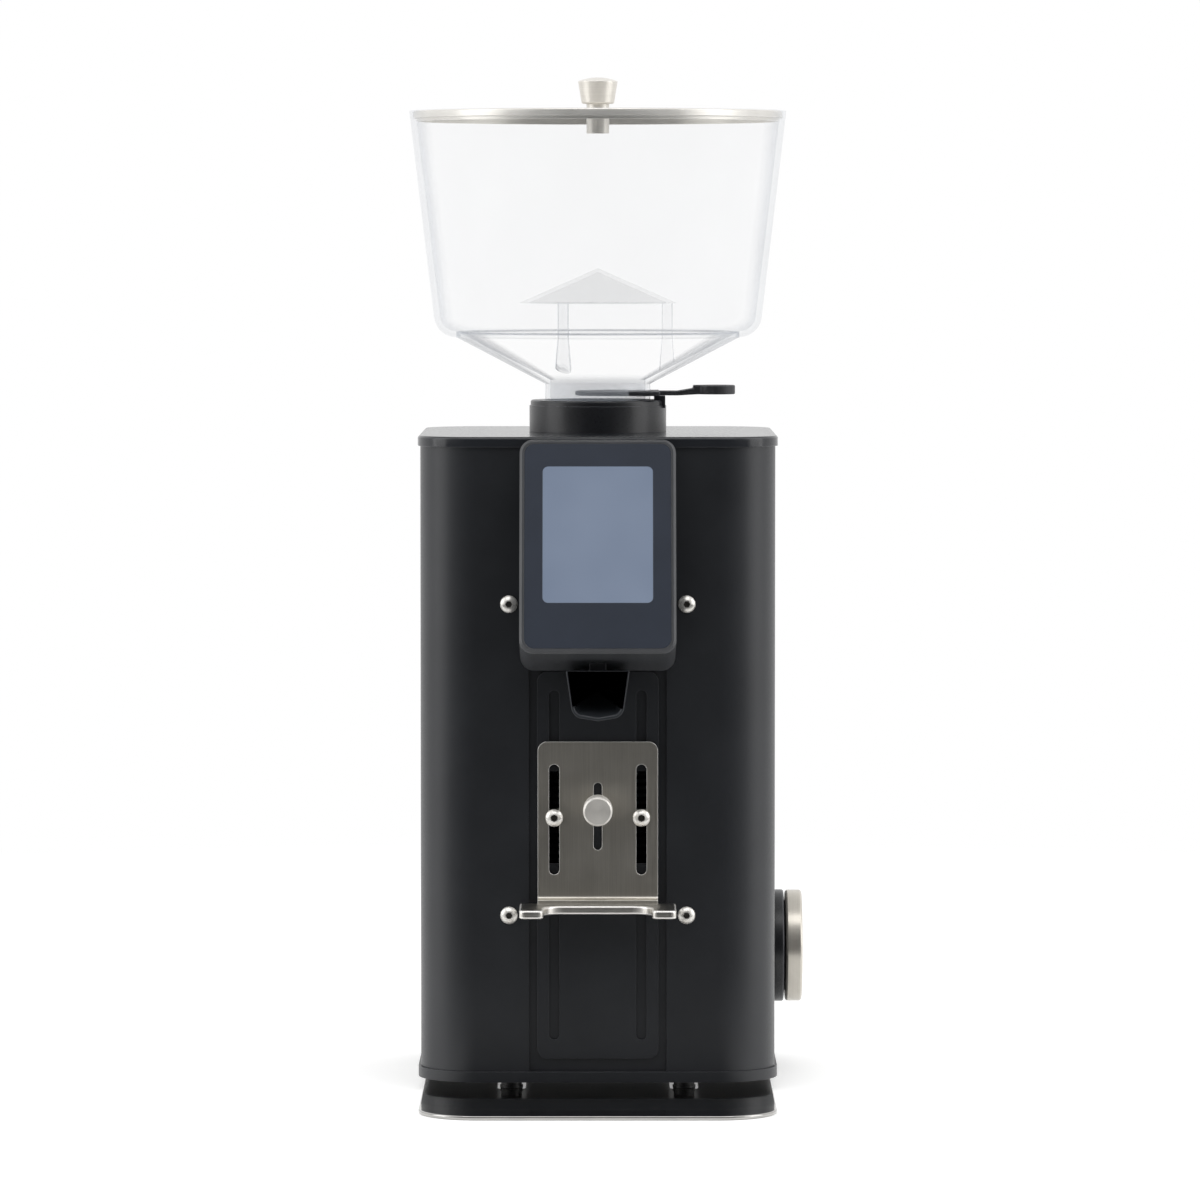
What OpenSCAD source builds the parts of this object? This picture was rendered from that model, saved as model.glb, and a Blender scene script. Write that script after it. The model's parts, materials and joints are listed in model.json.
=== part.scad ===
// Burr coffee grinder for portafilters: 64 mm flat burrs over a vertical motor, clear bean hopper
// above, portafilter fork and start button in front, grind dial on the right side.
// Millimetres, +Z up, front towards -Y, origin on the floor under the middle of the body.

/* [Body] */
// Width of the sheet-metal body
body_w = 154; // [148:1:164]
// Depth of the body, front to back
body_d = 160; // [156:1:170]
// Radius of the body's upright corners
corner_r = 25; // [20:1:28]
// Thickness of the body's sheet
sheet_t = 1.6; // [1.2:0.2:2]
// Height of the body sleeve
sleeve_h = 269.8; // [268:0.2:276]
// Width of the front opening between the sleeve's edges
front_gap_w = 59.4; // [58:0.2:62]
// How far the base and top plates stand out past the sleeve
plate_lip = 1.1; // [0.5:0.1:2]
// Thickness of the base plate
base_t = 4.7; // [4:0.1:6]
// Thickness of the top plate
top_t = 4.5; // [4:0.1:6]
// Bevel round the top plate's upper edge
top_bevel = 0.8; // [0.4:0.1:1.2]
// Height of the fixing screws' upper row over the sleeve's lower edge
upper_screw_h = 202.3; // [196:0.1:208]
// Height of the fixing screws' lower row over the sleeve's lower edge
lower_screw_h = 67.8; // [60:0.1:76]
// Distance of each fixing screw from the middle
sleeve_screw_x = 38.3; // [37:0.1:42]

/* [Feet and tray] */
// Height of the base plate's underside over the floor
foot_h = 5.4; // [5:0.1:7]
// Radius of a foot's rubber pad
foot_r = 5; // [4:0.5:6]
// Distance of each foot from the middle
foot_x = 37.4; // [34:0.2:40]
// Distance of the front feet behind the body's front
front_foot_inset = 10; // [9:0.5:14]
// Distance of the rear feet ahead of the body's back
rear_foot_inset = 16; // [14:1:20]
// Width of the grounds tray
tray_w = 152; // [140:1:153]
// How far the tray reaches out in front of the body
tray_reach = 84; // [70:1:95]
// How far the tray reaches in under the body
tray_under = 120; // [100:1:124]
// Thickness of the tray's sheet
tray_t = 1.9; // [1.5:0.1:2.2]

/* [Hopper] */
// Outer radius of the collar that holds the hopper
collar_r = 30.2; // [29:0.1:31]
// Height of the collar over the top plate
collar_h = 14; // [12:0.5:16]
// Outer radius of the hopper's neck
neck_r = 23.2; // [22:0.1:24]
// Length of neck that stands in the collar
neck_seat = 10.4; // [8:0.1:11]
// Length of neck that shows over the collar
neck_show = 7; // [6.5:0.1:9]
// Height of the sloping funnel
funnel_h = 20.6; // [18:0.2:24]
// Radius where the funnel meets the tub
seam_r = 62.5; // [58:0.5:65]
// Radius of the tub's lower corner
tub_corner_r = 10; // [8:0.5:12]
// Height of the tub over the funnel
tub_h = 99.7; // [90:0.1:110]
// Outer radius of the tub's rim
rim_r = 83.2; // [81:0.2:86]
// Thickness of the hopper's wall
hopper_t = 2.6; // [2:0.1:3.2]
// Depth of the step in the rim that the lid lies in
lid_depth = 3.3; // [3:0.1:5]
// Radius of the bean deflector
deflector_r = 34.8; // [33:0.2:37]
// Height of the deflector's cone
deflector_h = 15.4; // [12:0.1:17]
// Height of the deflector's edge over the tub's seam
deflector_lift = 15.1; // [14:0.1:20]
// Distance of the deflector's posts from the axis
post_ring_r = 30.6; // [28:0.1:31]
// How far the shutter's tip stands past the axis
shutter_tip = 10; // [8:0.5:12]
// Width of the shutter's blade
shutter_w = 37; // [34:0.5:38]

/* [Display head] */
// Width of the display head
head_w = 67; // [65:0.5:70]
// Height of its sloping face
head_h = 94; // [90:0.5:95]
// Lean of the face from upright
head_tilt = 16; // [14:0.5:18]
// How far the face's lower edge stands out
head_reach = 34; // [33:0.5:37]
// Height of the face's lower edge over the sleeve's lower edge
head_z = 183.3; // [178:0.1:184]
// Radius of the face's corners
head_r = 6; // [5:0.5:8]
// Width of the border round the glass
bezel = 2; // [1.6:0.1:3]
// Width of the lit screen
screen_w = 47.3; // [44:0.1:50]
// Height of the lit screen
screen_h = 60; // [56:0.5:64]
// Distance of the screen's top from the face's upper edge
screen_drop = 12; // [9:0.5:15]

/* [Spout] */
// Width of the spout at its roof
spout_w = 27.6; // [26:0.2:29]
// Width of the spout near its floor
spout_floor_w = 22.8; // [22:0.2:25.6]
// Height of the spout's section
spout_h = 20.6; // [19:0.2:22]
// Slope of the spout
spout_tilt = 24; // [22:0.5:26]
// Thickness of the spout's wall
spout_t = 1.4; // [1.2:0.1:1.8]
// How far the spout's mouth stands out
spout_reach = 23; // [20:0.5:26]
// Height of the spout's lower lip over the sleeve's lower edge
spout_lip_h = 153.3; // [150:0.1:154]
// Width of the lamp over the spout
lamp_w = 7.2; // [6:0.1:8]

/* [Portafilter holder] */
// Width of the slotted guide plate
guide_w = 52.4; // [51:0.2:54]
// Height of the bracket's upright plate
bracket_h = 69.8; // [67:0.2:71]
// Width of the bracket's upright plate
bracket_w = 51.8; // [50:0.2:52.4]
// Thickness of the bracket's sheet
bracket_t = 1.6; // [1.4:0.1:2]
// Distance of the bracket's slots from the middle
slot_x = 18.8; // [18:0.1:19.6]
// Height of the bracket's foot over the sleeve's lower edge
bracket_z = 73.2; // [72:0.1:75]
// Height of the two clamp screws over the sleeve's lower edge
clamp_h = 110.1; // [106:0.1:113]
// Overall width of the fork
fork_w = 67.2; // [64:0.2:70]
// Width of each fork prong
prong_w = 10.4; // [8:0.2:11]
// How far the fork stands out in front of the body
fork_reach = 34; // [30:0.5:44]
// Thickness of the fork
fork_t = 3.6; // [3:0.1:5]

/* [Start button] */
// Radius of the start button's head
button_r = 6.3; // [5.5:0.1:7]
// Length of its head
button_head_l = 14; // [10:0.5:15]
// How far its face stands out in front of the body
button_reach = 24; // [22:0.5:26]
// Height of its axis over the sleeve's lower edge
button_h = 114.7; // [112.5:0.1:115.5]
// Travel of the button
button_travel = 3; // [2:0.1:3.4]

/* [Grind dial] */
// Radius of the dial ring
dial_r = 24.65; // [22:0.05:27]
// Width of the dial ring
dial_t = 7.3; // [6:0.1:9]
// Height of the dial's axis over the sleeve's lower edge
dial_h = 46.3; // [44:0.1:47]
// Radius of the lead screw
lead_r = 4; // [3:0.1:4.5]
// Rise of the wedge for each millimetre of its travel
wedge_slope = 0.2; // [0.16:0.01:0.22]
// Height of the ramp's middle over the lead screw's axis
ramp_rise = 12; // [11.5:0.1:12.6]

/* [Burrs and motor] */
// Outer radius of the burrs
burr_r = 32; // [30:0.5:34]
// Inner radius of the burrs
burr_bore_r = 19; // [18:0.5:20]
// Thickness of each burr
burr_t = 7.4; // [7:0.1:8]
// Gap between the burrs
burr_gap = 0.6; // [0.5:0.05:0.8]
// Teeth on each burr's outer ring
tooth_count = 32; // [24:4:40]
// Inner radius of the grinding chamber
chamber_r = 42; // [40:0.5:44]
// Wall of the grinding chamber
chamber_t = 5; // [4:0.5:6]
// Height of the motor plate's underside over the sleeve's lower edge
motor_z = 171.9; // [170:0.1:173]
// Thickness of the motor plate
motor_plate_t = 5; // [4:0.5:6]
// Room from the body's front to the motor, for the button and its switch
motor_room = 28; // [27.5:0.5:32]
// Height of the stator
stator_h = 64; // [60:0.5:66]
// Radius of the motor's shaft
shaft_r = 8.5; // [8:0.1:9]

/* [Hidden] */
$fn = 96;

// Clearances
run_fit = 0.05;   // radial, a shaft that turns or slides in its bore
slip = 0.3;       // between neighbouring pieces that move past each other
seat_fit = 0.02;  // radial, a piece pushed onto another of its own group
cut = 1;          // how far a cutter runs past the face it opens

// Levels
z_sleeve = foot_h + base_t;
z_top = z_sleeve + sleeve_h;
z_deck = z_top + top_t;
z_collar = z_deck + collar_h;
y_front = -body_d / 2;
y_back = body_d / 2;
x_side = body_w / 2;
head_foot_h = head_z - head_reach * tan(head_tilt);
z_head_low = z_sleeve + head_foot_h;
motor_r = body_d / 2 - motor_room;

// M4 button-head screws
m4_r = 2;
m4_head_r = 3.8;
m4_head_h = 2.2;
m4_hole_r = m4_r + 0.2;
m4_key = 2.5;
m4_key_floor = 0.7;
m4_dome_r = (m4_head_r * m4_head_r + m4_head_h * m4_head_h) / (2 * m4_head_h) + 0.4;

// ---------------------------------------------------------------- shared shapes

module rounded_rect(w, d, r) {
    square([w - 2 * r, d], center = true);
    square([w, d - 2 * r], center = true);
    for (x = [-1, 1], y = [-1, 1])
        translate([x * (w / 2 - r), y * (d / 2 - r)]) circle(r);
}

module slot_2d(w, l) {
    square([w, l - w], center = true);
    for (s = [-1, 1]) translate([0, s * (l - w) / 2]) circle(w / 2);
}

module plate(w, d, r, t) {
    linear_extrude(t) rounded_rect(w, d, r);
}

// A rounded plate whose upper edge is bevelled all the way round
module bevelled_plate(w, d, r, t, b) {
    plate(w, d, r, t - b);
    for (x = [-1, 1], y = [-1, 1])
        translate([x * (w / 2 - r), y * (d / 2 - r), t - b]) cylinder(b, r, r - b);
    translate([0, 0, t - b]) {
        rotate([90, 0, 0]) linear_extrude(d - 2 * r, center = true) bevel_2d(w, b);
        rotate([90, 0, 90]) linear_extrude(w - 2 * r, center = true) bevel_2d(d, b);
    }
}

module bevel_2d(w, b) {
    polygon([[-w / 2, 0], [w / 2, 0], [w / 2 - b, b], [-w / 2 + b, b]]);
}

// Stands a flat shape up, facing the front, with its back at y
module facing_front(y, t) {
    translate([0, y, 0]) rotate([90, 0, 0]) linear_extrude(t) children();
}

// Lays a shape that was drawn along Z along +X instead, on the dial's axis
module on_dial_axis(x) {
    translate([x, 0, z_sleeve + dial_h]) rotate([0, 90, 0]) children();
}

function arc(cx, cy, r, a0, a1, n) =
    [for (i = [0:n]) let (a = a0 + (a1 - a0) * i / n) [cx + r * cos(a), cy + r * sin(a)]];

// Screw along -Z with its head above z = 0
module button_screw(l) {
    difference() {
        union() {
            translate([0, 0, -l]) cylinder(l, m4_r, m4_r);
            rotate_extrude() intersection() {
                translate([0, m4_head_h - m4_dome_r]) circle(m4_dome_r);
                square([m4_head_r, m4_head_h]);
            }
        }
        translate([0, 0, m4_key_floor]) cylinder(m4_head_h, m4_key / sqrt(3), m4_key / sqrt(3), $fn = 6);
    }
}

// ---------------------------------------------------------------- feet and tray

foot_y = [y_front + front_foot_inset, y_back - rear_foot_inset];
pad_h = 2.2;
pad_taper = 0.6;
disc_h = 1;
stud_r = 3;
stud_step = 1.5;
stud_h = foot_h - pad_h + base_t - 0.4;
way_r = foot_r + 0.8;

module at_feet() {
    for (x = [-1, 1], y = foot_y) translate([x * foot_x, y, 0]) children();
}

// Mirror-polished sheet, pushed in from the front round the two front feet
module base_tray() {
    tray_l = tray_reach + tray_under;
    color("silver") difference() {
        translate([0, y_front - tray_reach + tray_l / 2, 0]) plate(tray_w, tray_l, corner_r, tray_t);
        for (x = [-1, 1]) translate([x * foot_x, foot_y[0], -cut]) {
            cylinder(tray_t + 2 * cut, way_r, way_r);
            translate([-way_r, 0, 0]) cube([2 * way_r, tray_under, tray_t + 2 * cut]);
        }
    }
}

module foot_pads() {
    color("dimgray") at_feet() cylinder(pad_h, foot_r - pad_taper, foot_r);
}

// Steel disc with the stud that screws into the base plate
module foot_studs() {
    color("lightgray") at_feet() translate([0, 0, pad_h]) {
        cylinder(disc_h, foot_r, foot_r);
        cylinder(stud_h, stud_r, stud_r);
        translate([0, 0, disc_h]) cylinder(foot_h - pad_h - disc_h, stud_r + stud_step, stud_r + stud_step);
    }
}

// ---------------------------------------------------------------- frame

post_inset = 19;
post_r = 6;
post_neck_r = 4.5;
spigot_r = 3;
spigot_l = 3;
vent_count = 7;
vent_pitch = 9;
vent_w = 4;
vent_l = 26;
vent_y = 40;

module at_posts(z) {
    for (x = [-1, 1], y = [-1, 1])
        translate([x * (x_side - post_inset), y * (y_back - post_inset), z]) children();
}

module base_plate() {
    color("#222426") difference() {
        translate([0, 0, foot_h])
            plate(body_w + 2 * plate_lip, body_d + 2 * plate_lip, corner_r + plate_lip, base_t);
        at_feet() translate([0, 0, foot_h - cut])
            cylinder(base_t + cut, stud_r + seat_fit, stud_r + seat_fit);
        at_posts(z_sleeve - spigot_l) cylinder(spigot_l + cut, spigot_r + seat_fit, spigot_r + seat_fit);
        for (i = [0:vent_count - 1])
            translate([(i - (vent_count - 1) / 2) * vent_pitch, vent_y, foot_h - cut])
                linear_extrude(base_t + 2 * cut) slot_2d(vent_w, vent_l);
    }
}

// Stepped posts: the motor plate lies on the step
module frame_posts() {
    color("silver") at_posts(z_sleeve) {
        translate([0, 0, -spigot_l]) cylinder(spigot_l, spigot_r, spigot_r);
        cylinder(motor_z, post_r, post_r);
        cylinder(sleeve_h, post_neck_r, post_neck_r);
        cylinder(sleeve_h + spigot_l, spigot_r, spigot_r);
    }
}

panel_t = 2;
panel_w = 100;
panel_flange = 11;
y_panel = y_front + sheet_t;
nut_w = 7;
nut_t = 2.4;
nut_way_w = nut_w + 1;
nut_way_l = 40;
guide_t = sheet_t - 0.2;
guide_low = 5.6;
guide_r = 4.5;
guide_l = head_foot_h - guide_low - slip;
guide_slot_w = 4.5;
guide_slot_low = 13.8;
guide_slot_l = 151.4;
bush_r = 4;
tab_x = 10;
tab_t = 1.5;
switch_gap = 14.4;
y_switch = y_panel + panel_t + switch_gap;
switch_d = 8;
switch_h = 12;

// Folded inner front: the sleeve's edges and the guide plate lie on it
module front_panel() {
    color("#1b1d1f") difference() {
        union() {
            translate([-panel_w / 2, y_panel, z_sleeve]) cube([panel_w, panel_t, sleeve_h]);
            for (x = [-1, 1])
                translate([x * (panel_w / 2 - panel_t / 2) - panel_t / 2, y_panel, z_sleeve])
                    cube([panel_t, panel_flange, sleeve_h]);
            for (x = [-1, 1])
                translate([x * (tab_x + tab_t / 2) - tab_t / 2, y_panel, z_sleeve + button_h - switch_h / 2])
                    cube([tab_t, y_switch + switch_d - y_panel, switch_h]);
        }
        for (x = [-1, 1]) translate([x * slot_x, 0, z_sleeve + clamp_h])
            facing_front(y_panel + panel_t + cut, panel_t + 2 * cut)
                square([nut_way_w, nut_way_l], center = true);
        translate([0, 0, z_sleeve + button_h]) facing_front(y_panel + panel_t + cut, panel_t + 2 * cut)
            circle(bush_r + seat_fit);
        sleeve_screw_holes();
        display_screw_holes();
        spout_outer(slip);
    }
}

module guide_plate() {
    color("#26282a") difference() {
        translate([0, 0, z_sleeve]) facing_front(y_panel, guide_t)
            translate([0, guide_low + guide_l / 2]) rounded_rect(guide_w, guide_l, guide_r);
        for (x = [-1, 1]) translate([x * slot_x, 0, z_sleeve + guide_slot_low + guide_slot_l / 2])
            facing_front(y_panel + cut, guide_t + 2 * cut) slot_2d(guide_slot_w, guide_slot_l);
        translate([0, 0, z_sleeve + button_h]) facing_front(y_panel + cut, guide_t + 2 * cut)
            circle(bush_r + seat_fit);
        spout_outer(slip);
    }
}

// ---------------------------------------------------------------- sleeve and top

module sleeve_screw_holes() {
    for (x = [-1, 1], h = [lower_screw_h, upper_screw_h])
        translate([x * sleeve_screw_x, y_front - cut, z_sleeve + h]) rotate([-90, 0, 0])
            cylinder(sheet_t + panel_t + 2 * cut, m4_hole_r, m4_hole_r);
}

inlet_x = -28;
inlet_z = 30;
inlet_w = 27.4;
inlet_h = 19.8;
inlet_r = 2;
rocker_x = 26;
rocker_w = 19;
rocker_h = 13;
rocker_hole_r = 1;
wrap_hole_r = 9;
screw_l = 8;

// One sheet wrapped from the left front edge round the back to the right one
module body_sleeve() {
    color("#2a2c2e") difference() {
        translate([0, 0, z_sleeve]) linear_extrude(sleeve_h) difference() {
            rounded_rect(body_w, body_d, corner_r);
            rounded_rect(body_w - 2 * sheet_t, body_d - 2 * sheet_t, corner_r - sheet_t);
            translate([-front_gap_w / 2, y_front - cut]) square([front_gap_w, sheet_t + 2 * cut]);
        }
        sleeve_screw_holes();
        on_dial_axis(x_side - sheet_t - cut) cylinder(sheet_t + 2 * cut, wrap_hole_r, wrap_hole_r);
        translate([inlet_x, y_back + cut, z_sleeve + inlet_z]) rotate([90, 0, 0])
            linear_extrude(sheet_t + 2 * cut) rounded_rect(inlet_w, inlet_h, inlet_r);
        translate([rocker_x, y_back + cut, z_sleeve + inlet_z]) rotate([90, 0, 0])
            linear_extrude(sheet_t + 2 * cut) rounded_rect(rocker_w, rocker_h, rocker_hole_r);
    }
}

module sleeve_screws() {
    color("lightgray") for (x = [-1, 1], h = [lower_screw_h, upper_screw_h])
        translate([x * sleeve_screw_x, y_front, z_sleeve + h]) rotate([90, 0, 0]) button_screw(screw_l);
}

tube_r = neck_r + 2.6;
throat_r = neck_r - 2.2;

module top_plate() {
    w = body_w + 2 * plate_lip;
    d = body_d + 2 * plate_lip;
    color("#2e3033") difference() {
        translate([0, 0, z_top]) bevelled_plate(w, d, corner_r + plate_lip, top_t, top_bevel);
        translate([0, 0, z_top - cut]) cylinder(top_t + 2 * cut, tube_r + seat_fit, tube_r + seat_fit);
        at_posts(z_top - cut) cylinder(spigot_l + cut, spigot_r + seat_fit, spigot_r + seat_fit);
    }
}

// ---------------------------------------------------------------- collar and hopper

z_neck = z_collar - neck_seat;
collar_lip_h = 2.4;
collar_step = 0.5;
collar_break = 0.6;
lug_x = 24.8;
lug_l = 4.9;
lug_w = 20;
blade_t = 2;
z_blade = z_collar + 2;

// Turned collar on the top plate; its tube carries the beans down to the burrs
module hopper_collar() {
    lip_r = collar_r - collar_step;
    color("#232527") {
        rotate_extrude() difference() {
            polygon([
                [0, z_carrier_top], [tube_r, z_carrier_top], [tube_r, z_deck], [collar_r, z_deck],
                [collar_r, z_collar - collar_lip_h], [lip_r, z_collar - collar_lip_h],
                [lip_r, z_collar - collar_break], [lip_r - collar_break, z_collar], [0, z_collar]
            ]);
            translate([0, z_carrier_top - cut]) square([throat_r, z_collar - z_carrier_top + 2 * cut]);
            translate([0, z_neck]) square([neck_r + run_fit, neck_seat + cut]);
        }
        translate([lug_x, -lug_w / 2, z_collar - collar_lip_h - 1])
            cube([lug_l, lug_w, z_blade - slip - z_collar + collar_lip_h + 1]);
    }
}

z_funnel = z_collar + neck_show;
z_seam = z_funnel + funnel_h;
z_rim = z_seam + tub_h;
wall_lean = atan((rim_r - seam_r - tub_corner_r) / (tub_h - tub_corner_r));
funnel_lean = atan(funnel_h / (seam_r - neck_r));
funnel_rise = hopper_t / cos(funnel_lean);
z_ledge = z_rim - lid_depth;
rim_t = 1.6;
step_r = rim_r - rim_t;
lid_r = step_r - slip;
plug_h = 1.5;

function tub_inside(z) = rim_r - hopper_t / cos(wall_lean) - (z_rim - z) * tan(wall_lean);
function funnel_z(r) = z_funnel + (r - neck_r) * tan(funnel_lean);

plug_r = tub_inside(z_ledge - plug_h) - slip;

// Section of the whole hopper, from its neck to its rim
module hopper_profile() {
    difference() {
        polygon(concat(
            [[0, z_neck], [neck_r, z_neck], [neck_r, z_funnel]],
            arc(seam_r, z_seam + tub_corner_r, tub_corner_r, -90, -wall_lean, 12),
            [[rim_r, z_rim], [0, z_rim]]
        ));
        polygon(concat(
            [[0, z_neck - cut], [throat_r, z_neck - cut], [throat_r, funnel_z(throat_r) + funnel_rise]],
            arc(seam_r, z_seam + tub_corner_r, tub_corner_r - hopper_t, -90, -wall_lean, 12),
            // step that the lid lies in
            [[tub_inside(z_ledge), z_ledge], [step_r, z_ledge], [step_r, z_rim + cut], [0, z_rim + cut]]
        ));
    }
}

// Tub with its rounded lower corner, welded to the funnel along the seam
module hopper() {
    color("aliceblue", 0.35) rotate_extrude($fn = 128) difference() {
        hopper_profile();
        translate([0, z_neck]) square([seam_r, z_rim - z_neck + cut]);
    }
}

// Sloping funnel with the neck, which has the shutter's slot on its right
module hopper_funnel() {
    color("aliceblue", 0.35) difference() {
        rotate_extrude($fn = 128) intersection() {
            hopper_profile();
            translate([0, z_neck]) square([seam_r, z_rim - z_neck]);
        }
        translate([0, -shutter_w / 2 - slip, z_blade - slip])
            cube([neck_r + cut, shutter_w + 2 * slip, blade_t + 2 * slip]);
    }
}

z_deflector = z_seam + deflector_lift;
deflector_t = 1.8;
post_bite = 0.5;
post_r_top = 2.3;
post_r_foot = 4;

// Clear cone that keeps the beans' weight off the throat, on three moulded posts
module deflector() {
    color("aliceblue", 0.5) {
        rotate_extrude() polygon([
            [0, z_deflector + deflector_h], [deflector_r, z_deflector],
            [deflector_r - deflector_t * deflector_r / deflector_h, z_deflector],
            [0, z_deflector + deflector_h - deflector_t]
        ]);
        difference() {
            for (a = [0:120:240]) rotate(a) translate([post_ring_r, 0, z_funnel]) {
                cylinder(z_deflector + post_bite - z_funnel, post_r_top, post_r_top);
                cylinder(z_seam - z_funnel, post_r_foot, post_r_top);
            }
            rotate_extrude() polygon([
                [0, z_funnel - cut], [seam_r, z_funnel - cut],
                [seam_r, funnel_z(seam_r) + funnel_rise], [0, funnel_z(0) + funnel_rise]
            ]);
        }
    }
}

blade_end = neck_r + 4;
arm_w = 11;
arm_t = 3;
arm_root = neck_r + 12;
arm_end = 44;
arm_lap = 2;
paddle_r = 8.6;
paddle_t = 4;
paddle_lift = 0.5;
shutter_reach = 60.6;

// Blade through the neck, with an arm and a paddle on the right
module shutter() {
    blade_r = shutter_w / 2;
    paddle_x = shutter_reach - paddle_r;
    color("#1c1d1f") {
        translate([0, 0, z_blade]) linear_extrude(blade_t) {
            translate([blade_r - shutter_tip, 0]) circle(blade_r);
            translate([blade_r - shutter_tip, -blade_r])
                square([blade_end - blade_r + shutter_tip, shutter_w]);
        }
        translate([0, arm_w / 2, z_blade]) rotate([90, 0, 0]) linear_extrude(arm_w) polygon([
            [blade_end - arm_lap, 0], [arm_root, 0], [arm_end, paddle_lift],
            [arm_end, paddle_lift + arm_t], [arm_root, blade_t], [blade_end - arm_lap, blade_t]
        ]);
        translate([0, 0, z_blade + paddle_lift]) {
            translate([paddle_x, 0, 0]) cylinder(paddle_t, paddle_r, paddle_r);
            translate([arm_end - arm_lap, -arm_w / 2, 0])
                cube([paddle_x - arm_end + arm_lap, arm_w, paddle_t]);
        }
    }
}

// ---------------------------------------------------------------- lid

lid_sheet = 1;
lid_break = 0.4;
plug_t = 1.2;
knob_neck_r = 5;
knob_neck_h = 3.3;
knob_low_r = 7.2;
knob_top_r = 8.75;
knob_h = 9.9;
knob_break = 0.5;
knob_dome = 1.7;
lid_sink = 0.2;
z_lid = z_rim - lid_sink;
nut_l = 8.8;

module hopper_lid() {
    color("silver") difference() {
        rotate_extrude($fn = 128) polygon([
            [0, z_lid - lid_sheet], [0, z_lid], [lid_r - lid_break, z_lid], [lid_r, z_lid - lid_break],
            [lid_r, z_ledge], [plug_r, z_ledge], [plug_r, z_ledge - plug_h],
            [plug_r - plug_t, z_ledge - plug_h],
            [plug_r - plug_t, z_lid - lid_sheet]
        ]);
        translate([0, 0, z_ledge]) cylinder(z_lid, m4_hole_r, m4_hole_r);
    }
}

module lid_knob() {
    dome_r = (knob_top_r * knob_top_r + knob_dome * knob_dome) / (2 * knob_dome);
    color("lightgray") translate([0, 0, z_lid]) rotate_extrude() {
        polygon([
            [0, 0], [knob_neck_r, 0], [knob_neck_r, knob_neck_h], [knob_low_r - knob_break, knob_neck_h],
            [knob_low_r, knob_neck_h + knob_break], [knob_top_r, knob_neck_h + knob_h],
            [0, knob_neck_h + knob_h]
        ]);
        intersection() {
            translate([0, knob_neck_h + knob_h + knob_dome - dome_r]) circle(dome_r);
            translate([0, knob_neck_h + knob_h]) square([knob_top_r, knob_dome]);
        }
        translate([0, -lid_sheet - nut_l / 2]) square([m4_r, lid_sheet + nut_l / 2]);
    }
}

module lid_nut() {
    color("silver") translate([0, 0, z_lid - lid_sheet - nut_l]) difference() {
        cylinder(nut_l, knob_neck_r, knob_neck_r);
        translate([0, 0, nut_l / 2 - slip]) cylinder(nut_l, m4_r + seat_fit, m4_r + seat_fit);
    }
}

// ---------------------------------------------------------------- display head

head_wall = 2.4;
glass_t = 2;
glass_r = head_r - bezel + 0.5;
glass_gap = 0.1;
glass_skin = 1.5;
screen_t = 1.2;
screen_depth = glass_t + 1.4;
screen_r = 2.5;
screen_gap = 0.05;
ledge_w = 3;
board_gap = 7;
board_t = 1.6;
board_rim = 2;
plug_w = 24;
plug_l = 16;
head_bevel = 1;

// Puts shapes drawn in the face's own plane, from its middle, onto the sloping face; +Z points out
module on_face(depth) {
    translate([0, y_front - head_reach, z_sleeve + head_z]) rotate([90 - head_tilt, 0, 0])
        translate([0, head_h / 2, -depth]) children();
}

module behind_front(depth) {
    intersection() {
        children();
        translate([-head_w, y_front - 2 * head_reach, z_sleeve])
            cube([2 * head_w, 2 * head_reach - depth, sleeve_h + top_t]);
    }
}

module display_housing() {
    deep = 2 * head_reach;
    color("#2b2e33") {
        behind_front(0) difference() {
            union() {
                on_face(deep) plate(head_w, head_h, head_r, deep - 1.5 * head_bevel);
                on_face(2 * head_bevel) bevelled_plate(head_w, head_h, head_r, 2 * head_bevel, head_bevel);
            }
            on_face(glass_t) plate(head_w - 2 * bezel, head_h - 2 * bezel, glass_r, glass_t + cut);
            on_face(glass_t + glass_skin)
                plate(screen_w + 2 * board_rim, head_h - 2 * bezel - 2 * ledge_w, screen_r, 2 * glass_t);
            on_face(deep) plate(head_w - 2 * head_wall, head_h - 2 * head_wall, head_r - head_wall,
                deep - glass_t - glass_skin);
            lamp_solid(seat_fit);
            // notch for the top plate's lip
            translate([-head_w, y_front - plate_lip - seat_fit, z_top - seat_fit])
                cube([2 * head_w, deep, deep]);
        }
        display_bosses();
    }
}

boss_r = 4;
boss_l = 5;
boss_edge = 0.4;
boss_x = front_gap_w / 2 - m4_r - boss_edge;
boss_h = [22, 70];

module at_display_bosses() {
    for (x = [-1, 1], h = boss_h) translate([x * boss_x, y_front, z_sleeve + head_foot_h + h]) children();
}

// Screw bosses on the head's inner side walls, flush with its back
module display_bosses() {
    difference() {
        at_display_bosses() rotate([90, 0, 0]) cylinder(boss_l, boss_r, boss_r);
        display_screw_holes();
    }
}

module display_screw_holes() {
    at_display_bosses() translate([0, panel_t + sheet_t + cut, 0]) rotate([90, 0, 0])
        cylinder(panel_t + sheet_t + boss_l - boss_edge + cut, m4_r + seat_fit, m4_r + seat_fit);
}

module display_screws() {
    color("lightgray") at_display_bosses() translate([0, sheet_t + panel_t, 0]) rotate([-90, 0, 0])
        button_screw(panel_t + sheet_t + boss_l - boss_edge - glass_gap);
}

screen_y = head_h / 2 - screen_drop - screen_h / 2;

module display_glass() {
    glass_w = head_w - 2 * bezel;
    glass_l = head_h - 2 * bezel;
    color("#3a4250") difference() {
        on_face(glass_t)
            plate(glass_w - 2 * glass_gap, glass_l - 2 * glass_gap, glass_r - glass_gap, glass_t - glass_gap);
        on_face(glass_t + cut) translate([0, screen_y, 0])
            plate(screen_w, screen_h, screen_r, glass_t + 2 * cut);
    }
}

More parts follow.
